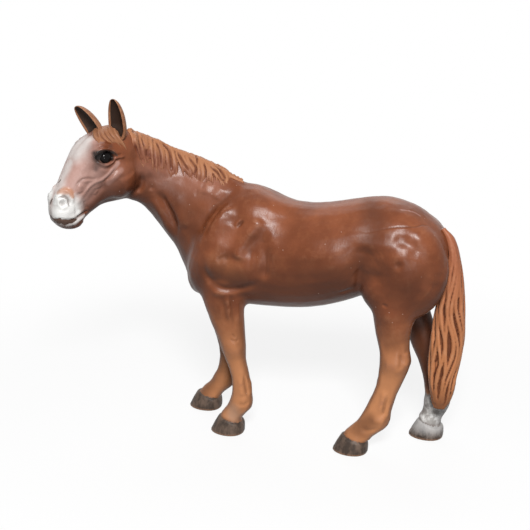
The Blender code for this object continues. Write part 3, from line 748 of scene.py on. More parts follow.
@dataclass(frozen=True)
class CoatPaint:
    """Satin chestnut paint with dark paint in the creases that also serves as painted shade, tan legs and
    airbrushed white.
    """
    chestnut: Colour = (0.225, 0.066, 0.026)
    deep: Colour = (0.155, 0.042, 0.015)
    tan: Colour = (0.53, 0.225, 0.098)
    # Dark brown for the creases, also laid as painted shade in hollows, under the body and on the legs.
    wash: Colour = (0.050, 0.016, 0.008)
    worn: Colour = (0.34, 0.145, 0.080)
    rose: Colour = (0.47, 0.29, 0.25)
    white: Colour = (0.82, 0.81, 0.785)
    grey: Colour = (0.36, 0.34, 0.32)
    soot: Colour = (0.014, 0.012, 0.011)
    pale: Colour = (0.42, 0.27, 0.19)
    lip: Colour = (0.085, 0.050, 0.036)
    rust: Colour = (0.46, 0.20, 0.10)
    speck: Colour = (0.60, 0.42, 0.34)

    def make(self) -> bpy.types.Material:
        """Build the material."""
        finish = Finish("coat_paint")
        cloud = finish.noise(9 * MM, 4)
        blotch = finish.noise(2.2 * MM, 5, rough=0.6)
        streak = finish.noise(0.9 * MM, 4, (1.0, 1.0, 0.28), 0.6)
        grain = finish.noise(0.28 * MM, 3)
        colour = finish.mix(cloud.ease(0.35, 0.7), self.deep, self.chestnut)
        tan = (finish.painted(Field.TAN) + (blotch - 0.5) * 0.35).clamp()
        colour = finish.mix(tan, colour, self.tan)
        pale = (finish.painted(Field.PALE) * (0.6 + blotch * 0.7)).clamp()
        colour = finish.mix(pale, colour, self.pale)
        worn = (finish.painted(Field.RIDGE) * blotch.ease(0.42, 0.66) * 0.55).clamp()
        colour = finish.mix(worn, colour, self.worn)
        blush = (finish.painted(Field.BLUSH) * (0.75 + blotch * 0.5)).clamp()
        colour = finish.mix(blush, colour, self.rose)
        white = finish.painted(Field.WHITE)
        white = (white + (blotch - 0.5) * 0.4 * white.ease(0, 0.3)).clamp()
        colour = finish.mix(white, colour, self.white)
        sock = finish.painted(Field.SOCK)
        sock = (sock + (blotch - 0.5) * 0.3 * sock.ease(0, 0.2)).ease(0.3, 0.7)
        colour = finish.mix(sock, colour, finish.mix(blotch.ease(0.4, 0.62), self.grey, self.white))
        rust = (finish.painted(Field.RUST) * (0.55 + blotch * 0.8)).clamp()
        colour = finish.mix(rust, colour, self.rust)
        lip = (finish.painted(Field.LIP) + (blotch - 0.5) * 0.3
               * finish.painted(Field.LIP).ease(0, 0.2)).ease(0.3, 0.6)
        colour = finish.mix(lip, colour, self.lip)
        # Dark crease paint and painted shade, read from the field that holds both.
        wash = (finish.painted(Field.WASH) * (0.75 + blotch * 0.4)).clamp() * 0.85
        colour = finish.mix(wash, colour, self.wash)
        soot = finish.painted(Field.SOOT)
        soot = (soot + (grain - 0.5) * 0.3 * soot.ease(0, 0.3)).clamp()
        colour = finish.mix(soot, colour, self.soot)
        dust = finish.node("ShaderNodeTexVoronoi", {"feature": "F1"},
                           {"Vector": finish.place(), "Scale": 1 / (3.6 * MM)})
        specks = dust.ease(0.055, 0.03) * 0.5
        colour = finish.mix(specks, colour, self.speck)
        rough = (0.32 + (blotch - 0.5) * 0.16 + (streak - 0.5) * 0.1
                 + finish.painted(Field.WASH) * 0.12 + white * 0.08)
        normal = finish.bump(streak, 0.05 * MM)
        normal = finish.bump(grain, 0.02 * MM, normal)
        finish.surface(Base_Color=colour, Roughness=rough, Normal=normal, Specular_IOR_Level=0.24)
        return finish.material


@dataclass(frozen=True)
class HairPaint:
    """Orange-tan moulded hair with dark paint and painted shade in its grooves."""
    light: Colour = (0.38, 0.162, 0.078)
    faded: Colour = (0.215, 0.078, 0.045)
    red: Colour = (0.28, 0.100, 0.055)
    # Dark brown for the grooves between strands, partly painted shade there.
    wash: Colour = (0.100, 0.027, 0.014)
    worn: Colour = (0.52, 0.27, 0.15)

    def make(self, name: str, top: float, bottom: float) -> bpy.types.Material:
        """Build the material.

        Args:
            name: The material's name.
            top: The height from which the hair is red.
            bottom: The height below which it is light.

        Returns:
            The material.
        """
        finish = Finish(name)
        cloud = finish.noise(3 * MM, 4, rough=0.6)
        grain = finish.noise(0.25 * MM, 3)
        height = finish.node("ShaderNodeSeparateXYZ", None, {"Vector": finish.place()}, "Z")
        red = (height.ease(bottom, top) * (0.65 + cloud * 0.6)).clamp()
        faded = (finish.painted(Field.FADE) * (0.7 + cloud * 0.6)).clamp()
        colour = finish.mix(red, finish.mix(faded, self.light, self.faded), self.red)
        ridge = (finish.painted(Field.RIDGE) * cloud.ease(0.35, 0.7)).clamp() * 0.45
        colour = finish.mix(ridge, colour, self.worn)
        # Dark groove paint and painted shade between the strands, and darker towards the tail's tip.
        wash = (finish.painted(Field.WASH) * (0.7 + cloud * 0.5)).clamp() * 0.9
        colour = finish.mix(wash, colour, self.wash)
        rough = 0.42 + (cloud - 0.5) * 0.2 + finish.painted(Field.WASH) * 0.15
        finish.surface(Base_Color=colour, Roughness=rough, Normal=finish.bump(grain, 0.015 * MM),
                       Specular_IOR_Level=0.15)
        return finish.material


@dataclass(frozen=True)
class HornPaint:
    """Dull dark hoof paint, scuffed, with a worn tan edge round the sole."""
    dark: Colour = (0.048, 0.033, 0.025)
    grey: Colour = (0.150, 0.102, 0.076)
    worn: Colour = (0.36, 0.20, 0.12)
    white: Colour = (0.62, 0.61, 0.60)

    def make(self, name: str, chalky: float) -> bpy.types.Material:
        """Build the material.

        Args:
            name: The material's name.
            chalky: How much of the sock's white runs over the hoof.

        Returns:
            The material.
        """
        finish = Finish(name)
        blotch = finish.noise(2.4 * MM, 5, (1, 1, 0.6), 0.65)
        scuff = finish.noise(0.6 * MM, 4, rough=0.65)
        height = finish.node("ShaderNodeSeparateXYZ", None, {"Vector": finish.place()}, "Z")
        colour = finish.mix(blotch.ease(0.38, 0.68), self.dark, self.grey)
        edge = (height.ease(1.1 * MM, 0.2 * MM) * scuff.ease(0.3, 0.55)).clamp()
        colour = finish.mix(edge, colour, self.worn)
        chalk = (height.ease(0.5 * MM, 5 * MM) * chalky + (blotch - 0.5) * chalky).clamp()
        colour = finish.mix(chalk, colour, self.white)
        finish.surface(Base_Color=colour, Roughness=0.5 + (scuff - 0.5) * 0.3,
                       Normal=finish.bump(blotch + scuff * 0.4, 0.12 * MM), Specular_IOR_Level=0.25)
        return finish.material


@dataclass(frozen=True)
class EyeGloss:
    """Glossy black eye paint."""
    black: Colour = (0.006, 0.005, 0.005)

    def make(self) -> bpy.types.Material:
        """Build the material."""
        finish = Finish("eye_gloss")
        film = finish.noise(0.8 * MM, 2)
        finish.surface(Base_Color=finish.mix(film * 0.3, self.black, (0.012, 0.009, 0.008)),
                       Roughness=0.07 + film * 0.05, Specular_IOR_Level=0.08)
        return finish.material


@dataclass(frozen=True)
class EarPaint:
    """Tan ear with a dark cup."""
    tan: Colour = (0.27, 0.115, 0.060)
    rim: Colour = (0.40, 0.20, 0.11)
    cup: Colour = (0.030, 0.017, 0.012)

    def make(self) -> bpy.types.Material:
        """Build the material."""
        finish = Finish("ear_paint")
        blotch = finish.noise(1.4 * MM, 5, rough=0.6)
        colour = finish.mix(blotch.ease(0.35, 0.7), self.tan, self.rim)
        cup = finish.painted(Field.SOOT)
        cup = (cup + (blotch - 0.5) * 0.35 * cup.ease(0, 0.3)).ease(0.3, 0.75)
        colour = finish.mix(cup, colour, self.cup)
        finish.surface(Base_Color=colour, Roughness=0.5 + (blotch - 0.5) * 0.2,
                       Normal=finish.bump(blotch, 0.08 * MM), Specular_IOR_Level=0.15)
        return finish.material


def link(mesh: bpy.types.Mesh, name: str) -> bpy.types.Object:
    """Make a mesh an object of the scene."""
    mesh.name = name
    obj = bpy.data.objects.new(name, mesh)
    bpy.context.scene.collection.objects.link(obj)
    return obj


def evaluated(obj: bpy.types.Object) -> bpy.types.Mesh:
    """Take what an object's modifiers make of it and remove the object."""
    bpy.context.view_layer.update()
    graph = bpy.context.evaluated_depsgraph_get()
    mesh = bpy.data.meshes.new_from_object(obj.evaluated_get(graph))
    bpy.data.objects.remove(obj)
    return mesh


def melt(bm: bmesh.types.BMesh, voxel: float) -> bpy.types.Mesh:
    """Melt overlapping closed shapes into one skin of small faces.

    Args:
        bm: The shapes; they are freed.
        voxel: The size of the skin's faces.

    Returns:
        The skin.
    """
    mesh = bpy.data.meshes.new("melt")
    bm.to_mesh(mesh)
    bm.free()
    obj = link(mesh, "melt")
    remesh = obj.modifiers.new("melt", "REMESH")
    remesh.mode = "VOXEL"
    remesh.voxel_size = voxel
    return evaluated(obj)


def store_fields(mesh: bpy.types.Mesh, fields: dict[Field, np.ndarray]) -> None:
    """Keep painted fields on a mesh, so that its material can read them."""
    for field, values in fields.items():
        layer = mesh.attributes.new(field.value, "FLOAT", "POINT")
        layer.data.foreach_set("value", np.clip(values, 0, 1).astype(np.float32))


def hand_over(obj: bpy.types.Object, node: str, material: bpy.types.Material) -> None:
    """Dress a piece, let it ride on the figure and stand for its node."""
    obj.data.materials.clear()
    obj.data.materials.append(material)
    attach(obj, BODY)
    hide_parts(node)
    LOG.info("%s: %d faces", obj.name, len(obj.data.polygons))


# Muscle forms; the dark paint some of them lay in their grooves is partly painted shade.
MUSCLES = (
    Stroke(((262, 218), (255, 228), (247, 239), (240, 250), (235, 261)), 2.4, 0.6, taper=0.18),
    Stroke(((266, 205), (255, 208)), 5.0, 0.65, taper=0),
    Stroke(((231, 224), (226, 233)), 3.6, -0.55, taper=0),
    Stroke(((273, 236), (260, 240), (250, 248), (245, 260)), 2.8, -0.6, wash=0.15),
    Stroke(((240, 192), (222, 200), (208, 214), (200, 230), (196, 248)), 1.8, -0.5, wash=0.25),
    Stroke(((224, 206), (212, 220), (203, 238)), 0.9, -0.25, wash=0.2),
    Stroke(((236, 202), (222, 214), (211, 230)), 1.5, 0.3),
    Stroke(((217, 265), (228, 271), (239, 270)), 4.6, 0.75, taper=0),
    Stroke(((216, 261), (223, 258), (230, 257)), 1.0, -0.2),
    # Painted shade under the shoulder's bulge, where it overhangs the leg.
    Stroke(((205, 256), (206, 271), (213, 283), (226, 289), (240, 289), (252, 285), (262, 279)),
           1.2, -0.4, wash=0.5, taper=0.25),
    Stroke(((266, 244), (266, 262), (264, 282)), 1.6, -0.45, wash=0.15),
    Stroke(((286, 206), (284, 228), (281, 248)), 4.5, -0.3),
    Stroke(((314, 254), (328, 258)), 6.5, 0.9, taper=0, twin=False),
    # The hip hollow and the flank, with painted shade in them.
    Stroke(((368, 196), (372, 214), (373, 230), (369, 246)), 4.5, -0.5, wash=0.2),
    Stroke(((366, 244), (362, 264), (358, 286)), 3.2, -0.7, wash=0.2),
    Stroke(((361, 262), (359, 280), (356, 293)), 1.1, -0.4, wash=0.4),
    Stroke(((391, 238), (402, 241), (411, 246), (418, 252), (428, 260)), 2.2, -0.45, wash=0.1),
    Stroke(((408, 226), (418, 233)), 4.6, 0.35, taper=0),
    Stroke(((390, 244), (394, 252)), 4.0, 0.3, taper=0),
    Stroke(((398, 270), (403, 279)), 4.6, 0.5, taper=0),
    Stroke(((399, 266),), 1.1, -0.3),
    Stroke(((446, 250), (441, 276), (430, 298)), 2.0, -0.22),
    Stroke(((158, 190), (165, 204), (172, 219), (178, 237)), 1.3, -0.75, wash=0.5),
    Stroke(((150, 192), (157, 207), (165, 222), (173, 240)), 1.6, 0.4),
    Stroke(((172, 194), (181, 212), (188, 230)), 2.6, 0.35, taper=0.2),
    Stroke(((209, 182), (204, 196)), 2.4, 0.2),
    Stroke(((224, 186), (214, 200)), 2.4, 0.18),
    Stroke(((216, 184), (209, 198)), 1.2, -0.1),
    Stroke(((141, 175), (142, 186), (136, 193)), 1.2, -0.25, wash=0.1),
    Stroke(((149, 172), (150, 184), (152, 192)), 1.0, -0.2, wash=0.1),
)

CREASES = (
    Stroke(((243.5, 220.5), (240.5, 223.5), (237, 227.5)), 0.45, -0.4, wash=0.5),
    Stroke(((241.5, 219), (238, 222.5), (235.5, 227)), 0.5, 0.3),
    Stroke(((265.5, 250), (266, 266), (264.5, 281)), 0.32, -0.13, wash=0.22),
    Stroke(((250, 250), (250.5, 262), (250, 273)), 0.45, -0.08, wash=0.08),
    Stroke(((255, 249), (256, 264), (255, 276)), 0.4, -0.08, wash=0.08),
    Stroke(((271, 254), (271.5, 270), (271, 286)), 0.4, -0.08, wash=0.1),
    Stroke(((363, 232.4), (374, 230.5), (386, 228.6), (400, 227.5), (415, 228), (422, 225.6),
            (429, 226.4)), 0.2, -0.13, wash=0.6, taper=0.12, twin=False),
    Stroke(((382, 304.5), (388, 307.3)), 0.4, -0.3, wash=0.55, twin=False),
    Stroke(((434, 284), (428, 293), (419, 303)), 0.3, 0.08, twin=False),
    Stroke(((222, 212), (215, 222), (210, 232)), 0.5, -0.13, wash=0.12),
    Stroke(((198, 186), (196, 198)), 0.55, -0.14, wash=0.1),
    Stroke(((206, 178), (202, 191)), 0.55, -0.14, wash=0.1),
    Stroke(((352, 288), (346, 291), (338, 293)), 0.6, -0.25, wash=0.25),
    Stroke(((372, 247), (379, 256), (384, 267)), 0.3, -0.06, wash=0.07),
    Stroke(((377, 246), (383, 255), (388, 266)), 0.3, -0.06, wash=0.07),
    Stroke(((366, 250), (374, 260), (380, 272)), 0.3, -0.06, wash=0.07),
    Stroke(((167, 206), (174, 215), (180, 227)), 0.5, -0.13, wash=0.1),
)

LEG_STROKES = (
    Stroke(((210, 292), (222, 293.5), (240, 293)), 1.2, 0.3),
    Stroke(((231, 292), (231.5, 305), (232.5, 318), (235, 332)), 0.55, -0.3, wash=0.32),
    Stroke(((222, 296), (225, 312), (229, 328)), 0.8, -0.25, wash=0.22),
    Stroke(((227, 294), (228, 308), (230, 322)), 0.8, 0.22),
    Stroke(((237, 294), (238, 310), (239, 326)), 0.9, 0.2),
    Stroke(((231, 347), (237, 351)), 2.6, 0.42, taper=0),
    Stroke(((229, 338), (234.5, 341), (239, 339.5)), 0.35, -0.18, wash=0.2),
    Stroke(((232, 334), (235.5, 337.5)), 0.4, -0.14, wash=0.15, taper=0.1),
    Stroke(((244, 373), (246, 386), (248, 397)), 0.5, -0.28, wash=0.25),
    Stroke(((249, 376), (251, 388), (251, 398)), 0.7, 0.22),
    Stroke(((239, 376), (241, 390), (243, 398)), 0.9, 0.22),
    Stroke(((236, 403), (244, 405), (250, 401)), 0.8, -0.2, wash=0.12),
    Stroke(((390, 321), (396, 331)), 3.6, 0.5, taper=0),
    Stroke(((380, 346), (392, 350), (404, 347)), 2.0, -0.24, wash=0.15),
    Stroke(((391, 366), (397, 369)), 2.4, 0.42, taper=0),
    Stroke(((406, 352), (408, 360), (405, 368)), 1.0, 0.3, taper=0.2),
    Stroke(((400, 352), (401, 362), (398, 372)), 0.7, -0.26, wash=0.15),
    Stroke(((385, 390), (382, 402), (378, 416)), 0.9, 0.3),
    Stroke(((391, 402), (388, 412), (387, 419)), 0.6, 0.2),
    Stroke(((388, 394), (385, 407), (382, 418)), 0.45, -0.15, wash=0.1),
    Stroke(((370, 419), (380, 422), (388, 415)), 1.2, 0.22),
    Stroke(((360, 427), (368, 431), (380, 427)), 0.8, -0.22, wash=0.12),
)

FACE_FORMS = (
    Stroke(((119, 162), (113, 168.5), (108, 174.5), (102, 179.5), (95, 182.5), (88, 188),
            (83.5, 196)), 0.62, 0.34, taper=0.25),
    Stroke(((122, 169), (115.5, 176), (107, 183)), 0.95, 0.32),
    Stroke(((117, 168), (110, 176), (104, 181.5)), 0.45, -0.22, wash=0.15),
    Stroke(((140, 171), (142.5, 181), (138, 190.5), (127, 196)), 1.1, -0.55, wash=0.35),
    Stroke(((128, 174), (130, 184), (122, 190)), 3.0, 0.35, taper=0.2),
    Stroke(((97, 185), (102, 187), (98, 191), (91, 198), (87, 206)), 1.1, -0.32, wash=0.25),
    Stroke(((99, 189.5), (94, 195.5)), 0.5, 0.2),
    Stroke(((81, 183), (79, 189), (80, 194)), 1.0, 0.38),
    Stroke(((90, 184), (85, 191), (80, 199), (79, 206)), 0.9, 0.3),
    Stroke(((96, 147.5), (104, 145.5), (114, 147.5)), 1.2, 0.35),
    Stroke(((97, 168), (90, 171), (82, 176)), 1.3, -0.22),
    Stroke(((119, 198), (108, 200.5), (97, 206)), 1.4, -0.3, wash=0.15),
    Stroke(((85, 221), (79, 225), (71, 227)), 1.4, 0.45, taper=0.25),
    Stroke(((60, 208), (68, 211), (76, 209)), 2.2, 0.35, taper=0.2),
    Stroke(((85, 199), (85.5, 205), (88, 209)), 0.6, -0.3, wash=0.2),
)

FACE_LINES = (
    Stroke(((99, 176), (94, 178.8), (88, 178.2), (83, 179), (79, 182), (76, 186), (74.5, 192)),
           0.4, -0.2, wash=0.5),
    Stroke(((90, 181), (87, 186), (83.5, 191), (82, 194.5)), 0.38, -0.16, wash=0.3),
    Stroke(((95, 181), (88, 181), (83, 183)), 0.4, 0.1),
    Stroke(((57, 193), (62.5, 190.6), (68.5, 192), (72, 197), (72, 205)), 0.75, 0.5, taper=0.2),
    # Crescent under the nostril's rim, filled with painted shade.
    Stroke(((58.5, 197.5), (63, 195.8), (67.3, 197.8), (69.3, 201.5), (68.5, 206.5)), 0.5, -0.7, wash=0.8,
           taper=0.25),
    Stroke(((63.5, 202.5),), 1.9, -0.5),
    Stroke(((63.6, 201),), 1.1, 0.6),
    Stroke(((57, 208), (63, 210.5), (69, 208.5)), 0.5, -0.15),
    Stroke(((88.5, 211), (84, 212.5), (80, 215.3), (76, 218.7)), 0.38, -0.45, wash=0.75, taper=0.15),
    Stroke(((76, 219), (68, 219.8), (60, 218.8), (54, 219.5)), 0.35, -0.25, wash=0.3, taper=0.1),
    Stroke(((86, 208.5), (80, 212.5), (74, 216.5), (66, 217.5)), 0.7, 0.2),
    Stroke(((87, 213.5), (81, 218.5), (74, 223), (67, 225.5)), 0.75, 0.35, taper=0.25),
    Stroke(((88, 215), (84, 221), (77, 225.5)), 0.4, -0.15, wash=0.2),
    Stroke(((113, 159.5), (119, 157.6), (126, 156.2)), 0.45, 0.25),
    Stroke(((113, 162), (117, 160.5), (121, 158.5)), 0.38, -0.25, wash=0.35),
    Stroke(((117, 155.5), (122, 154.5)), 0.4, -0.15, wash=0.2),
)

EYE_LIDS = (
    Stroke(((95.5, 156), (98.5, 151.2), (104.5, 148.9), (111, 150.2), (117, 155.3)), 0.5, 0.5,
           taper=0.15),
    Stroke(((97, 161), (101, 164.3), (106.5, 165.2), (112, 162.5), (115, 158.8)), 0.45, 0.42,
           taper=0.15),
    Stroke(((95, 149.5), (100, 147), (106, 146.3), (114, 148.8)), 0.4, -0.2, wash=0.2),
    Stroke(((98, 167), (106, 169), (113, 166.5)), 0.5, -0.18, wash=0.12),
)

PAINT = (
    Dab(Field.BLUSH, ((88, 142, 3.4), (80, 158, 5.6), (74, 174, 6.0), (66, 190, 5.4)), 0.95, 0.8),
    Dab(Field.BLUSH, ((95, 172, 4.0), (90, 184, 4.4), (84, 196, 3.6)), 0.75, 0.9),
    Dab(Field.BLUSH, ((118, 163, 0.7), (108, 174.5, 0.8), (97, 182, 0.9), (86, 191, 0.9)), 0.75, 0.7),
    Dab(Field.BLUSH, ((121, 170, 0.9), (108, 183, 1.1)), 0.5, 0.8),
    Dab(Field.BLUSH, ((112, 172, 3.5), (104, 186, 3.0)), 0.25, 1.0),
    Dab(Field.BLUSH, ((401, 210, 0.25), (412, 212, 0.2), (420, 216, 0.2)), 0.5, 0.5, False),
    Dab(Field.WHITE, ((88, 140, 1.6), (83, 146, 2.6), (78, 153, 2.8)), 0.62, 0.8),
    Dab(Field.WHITE, ((70, 163, 1.6), (63, 176, 1.8), (56, 188, 2.2)), 0.55, 0.8),
    Dab(Field.WHITE, ((57, 199, 3.0), (62, 205, 4.2), (68, 210, 4.6)), 1.0, 0.5),
    Dab(Field.WHITE, ((77, 212, 1.4), (71, 213, 3.0), (60, 214, 4.0)), 1.0, 0.6),
    Dab(Field.WHITE, ((84, 215, 0.4), (80, 218.2, 0.6), (74, 222.5, 0.8), (67, 225.3, 0.6)), 0.75, 0.6),
    Dab(Field.WHITE, ((442.5, 229.3, 0.3), (444.5, 229.5, 0.3)), 1.0, 0.4, False),
    Dab(Field.RUST, ((58.5, 192.3, 0.8), (64, 190.8, 1.2), (70, 192, 1.0), (72.3, 196.5, 0.6)), 0.75, 0.6,
        False),
    Dab(Field.LIP, ((54.5, 220.5, 0.5), (58, 221.5, 1.0), (62, 221.5, 0.7), (65, 222.5, 1.1),
                    (69, 221.7, 0.6), (72, 220.8, 0.75), (75.5, 219.4, 0.35)), 0.95, 0.5),
    Dab(Field.LIP, ((51.5, 216.5, 0.3), (54, 219.5, 0.4), (60, 219.3, 0.4)), 0.8, 0.5),
    Dab(Field.BLUSH, ((88, 214, 1.0), (86, 220, 1.5), (80, 226.5, 1.4)), 0.6, 0.8),
    Dab(Field.LIP, ((83, 224.5, 0.5), (87, 219, 0.5), (88.5, 214.5, 0.4)), 0.5, 0.7),
    Dab(Field.LIP, ((97, 152.8, 0.35), (104, 150.8, 0.4), (111, 151.6, 0.4), (117, 155.4, 0.35)), 0.8, 0.5),
    Dab(Field.LIP, ((50, 204, 0.3), (52, 199.5, 0.35)), 0.9, 0.4, False),
    Dab(Field.LIP, ((58.5, 182.5, 0.25), (60.5, 180, 0.25)), 0.8, 0.4, False),
    Dab(Field.SOOT, ((94.5, 153.5, 1.0), (96, 157, 1.3), (97.5, 161, 1.1)), 0.95, 1.0),
    Dab(Field.SOOT, ((97, 160, 1.2), (97, 165, 1.2), (96, 169, 0.8)), 0.6, 1.0),
    Dab(Field.SOOT, ((98, 157.3, 1.2), (105, 157.6, 1.65), (111.5, 157.8, 1.0)), 1.0, 0.25),
    Dab(Field.SOOT, ((98, 153.2, 0.7), (105, 151.8, 0.6), (112, 153.4, 0.5)), 0.9, 0.4),
    Dab(Field.SOOT, ((97, 161, 0.8), (103, 164, 0.5)), 0.5, 0.8),
    # Painted shade in the nostril's crescent.
    Dab(Field.WASH, ((58.5, 197.2, 0.15), (63, 195.4, 0.3), (67.3, 197.4, 0.4), (69.4, 201.5, 0.35),
                     (68.8, 206, 0.15)), 0.8, 0.6),
    Dab(Field.SOOT, ((90, 148, 1.6), (92, 158, 2.0)), 0.3, 1.0),
    Dab(Field.PALE, ((233, 410, 2.2), (234, 416, 2.6)), 0.6, 0.8),
    # Darker near hind pastern: brown paint and painted shade.
    Dab(Field.WASH, ((370, 420, 2.0), (358, 430, 2.8)), 0.7, 0.9),
    # Painted shade over the far foreleg.
    Dab(Field.WASH, ((204, 330, 2.4), (210, 352, 2.8), (212, 378, 2.8), (200, 398, 2.4)), 0.7, 0.8, False),
    # Painted shade in the flank.
    Dab(Field.WASH, ((362, 262, 3.4), (359, 290, 3.4)), 0.8, 1.0),
    # Painted shade in the hip hollow.
    Dab(Field.WASH, ((370, 204, 3.0), (373, 226, 3.6), (368, 250, 3.6)), 0.6, 1.0),
    # Painted shade at the front of the chest.
    Dab(Field.WASH, ((196, 268, 2.2), (200, 285, 2.4)), 0.3, 0.9),
    # Painted shade on the lower neck and the throat.
    Dab(Field.WASH, ((150, 205, 4.0), (166, 222, 4.5), (184, 242, 4.0)), 0.65, 1.0),
    Dab(Field.WASH, ((176, 200, 4.5), (190, 218, 5.0), (193, 236, 3.5)), 0.6, 1.0),
    # A painted sheen: pale rose along the neck under the mane.
    Dab(Field.BLUSH, ((143, 168, 3.0), (165, 178, 4.0), (190, 184, 4.0), (214, 187, 3.0)), 0.15, 1.0),
    # A painted highlight: lighter tan on the lit bulge of the shoulder.
    Dab(Field.TAN, ((220, 263, 3.6), (234, 271, 3.6)), 0.16, 1.0),
)


@dataclass(frozen=True)
class Coat:
    """The moulded skin over trunk, neck, head, legs and hooves."""
    voxel: float = 0.4 * MM
    growth: float = 0.24 * MM
    smoothing: int = 26
    head_line: tuple[Pixel, Pixel] = ((-46.4, 103.9), (-42.9, 73.1))
    neck_line: tuple[Pixel, Pixel] = ((-8.4, 92.8), (-26.0, 46.2))
    fine_ahead: float = 43 * MM
    fore_cut: float = 42.3 * MM
    hind_cut: float = 46.5 * MM
    flank_behind: float = 25.3 * MM
    coronet_toe_share: float = 0.266
    coronet_heel_share: float = 0.961
    coronet_heel_height_share: float = 0.694
    eye_socket_depth: float = 0.95
    muscle_relief: float = 1.5
    leg_relief: float = 1.3
    # Painted shade under the body.
    underside_painted_shade: float = 0.86
    # Painted shade on the front and back faces of the legs.
    leg_edge_painted_shade: float = 0.62
    # Painted shade over the far hind leg.
    far_leg_painted_shade: float = 0.95
    tan_top: float = 52 * MM
    tan_bottom: float = 20 * MM
    sock_top: float = 15.5 * MM

    def skin(self) -> Clay:
        """Melt the nodes into one skin, smooth it and swell it back to size."""
        bm = bmesh.new()
        for node in SKIN_NODES + HOOF_NODES + EYE_NODES:
            bm.from_mesh(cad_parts[node].data)
        bmesh.ops.remove_doubles(bm, verts=bm.verts, dist=0.002 * MM)
        bm.normal_update()
        for vert, normal in [(vert, vert.normal.copy()) for vert in bm.verts]:
            vert.co += normal * self.growth
        clay = Clay(melt(bm, self.voxel))
        clay.relax(self.smoothing)
        clay.points = clay.points - clay.normals() * self.growth
        clay.points[:, 2] = np.maximum(clay.points[:, 2], 0)
        clay.normals()
        return clay

    def coronet(self, hoof: str) -> tuple[Vector, Vector]:
        """A point and the upward normal of the plane between a hoof and its leg."""
        low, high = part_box(hoof)
        length = high.x - low.x
        toe = Vector((low.x + length * self.coronet_toe_share, 0, high.z))
        heel = Vector((low.x + length * self.coronet_heel_share, 0,
                       high.z * self.coronet_heel_height_share))
        way = (heel - toe).normalized()
        return toe, Vector((-way.z, 0, way.x))

    def refine(self, clay: Clay, turn: NeckTurn) -> Clay:
        """Cut the skin along the coronets and give the face smaller faces."""
        bm = bmesh.new()
        bm.from_mesh(clay.mesh)
        bm.verts.ensure_lookup_table()
        for hoof in HOOF_NODES:
            low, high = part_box(hoof)
            spot, normal = self.coronet(hoof)
            verts = [vert for vert in bm.verts if vert.co.z < high.z + 3 * MM
                     and low.x - 2 * MM < vert.co.x < high.x + 2 * MM
                     and low.y - 2 * MM < vert.co.y < high.y + 2 * MM]
            chosen = set(verts)
            faces = [face for face in {face for vert in verts for face in vert.link_faces}
                     if chosen.issuperset(face.verts)]
            edges = {edge for face in faces for edge in face.edges}
            bmesh.ops.bisect_plane(bm, geom=verts + list(edges) + faces, dist=0.02 * MM,
                                   plane_co=spot, plane_no=normal)
        bm.verts.index_update()
        points = np.array([vert.co for vert in bm.verts])
        ahead = turn.start() - turn.straighten(points)[:, 0]
        fine = ahead > self.fine_ahead - turn.length + 8 * MM
        edges = [edge for edge in bm.edges if fine[edge.verts[0].index] and fine[edge.verts[1].index]]
        bmesh.ops.subdivide_edges(bm, edges=edges, cuts=1, use_grid_fill=True)
        bm.to_mesh(clay.mesh)
        bm.free()
        refined = Clay(clay.mesh)
        ahead = turn.start() - turn.straighten(refined.points)[:, 0]
        start = self.fine_ahead - turn.length + 8 * MM
        refined.relax(5, smoothstep(start, start + 4 * MM, ahead))
        refined.normals()
        return refined

    def open_eyes(self, sculptor: Sculptor) -> None:
        """Sink an almond-shaped socket round each eye."""
        corners = sculptor.tracer.trace(((95.5, 157.5), (114.5, 157.3)), 1)
        crown = sculptor.tracer.trace(((105.3, 151), (106, 163.4)), 1)
        points = sculptor.clay.points
        for twin in (False, True):
            ends = sculptor.tracer.twin(corners) if twin else corners
            heights = sculptor.tracer.twin(crown) if twin else crown
            middle = ends.mean(axis=0)
            across = unit(ends[1] - ends[0])
            rise = heights[0] - heights[1]
            rise = unit(rise - across * (rise @ across))
            half_length = np.linalg.norm(ends[1] - ends[0]) / 2
            half_height = np.linalg.norm(heights[0] - heights[1]) / 2
            offset = points - middle
            near = np.linalg.norm(offset, axis=1) < 2 * half_length
            along = abs(offset @ across) / half_length
            up = abs(offset @ rise) / half_height
            inside = smoothstep(1.12, 0.78, along ** 1.5 + up ** 1.6)
            outward = np.cross(across, rise)
            facing = abs(sculptor.normals @ outward) > 0.3
            sculptor.lift -= self.eye_socket_depth * MM * inside * near * facing

    def sculpt(self, clay: Clay, sight: Sight, turn: NeckTurn) -> Sculptor:
        """Work the muscles, then the creases, then the eyes into the skin."""
        sculptor = Sculptor(clay, Tracer(clay, sight, turn))
        for stroke in MUSCLES:
            sculptor.stroke(stroke, self.muscle_relief)
        for stroke in FACE_FORMS:
            sculptor.stroke(stroke)
        sculptor.settle()
        for stroke in LEG_STROKES:
            sculptor.stroke(stroke, self.leg_relief)
        for stroke in CREASES + FACE_LINES + EYE_LIDS:
            sculptor.stroke(stroke)
        self.open_eyes(sculptor)
        sculptor.settle()
        return sculptor

    def cut_coronets(self, sculptor: Sculptor) -> None:
        """Press the coronet line into each leg and fill it with wash."""
        clay = sculptor.clay
        for hoof in HOOF_NODES:
            low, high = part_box(hoof)
            spot, normal = self.coronet(hoof)
            offset = (clay.points - np.array(spot)) @ np.array(normal)
            near = ((clay.points[:, 0] > low.x - 2 * MM) & (clay.points[:, 0] < high.x + 2 * MM)
                    & (clay.points[:, 1] > low.y - 2 * MM) & (clay.points[:, 1] < high.y + 2 * MM)
                    & (clay.points[:, 2] < high.z + 3 * MM))
            groove = np.exp(-(offset / (0.42 * MM)) ** 2) * near
            sculptor.lift -= 0.22 * MM * groove
            collar = np.exp(-((offset - 0.9 * MM) / (0.6 * MM)) ** 2) * near
            sculptor.lift += 0.12 * MM * collar
            wash = clay.field(Field.WASH)
            wash[:] = np.maximum(wash, groove * 0.85)
        sculptor.settle()

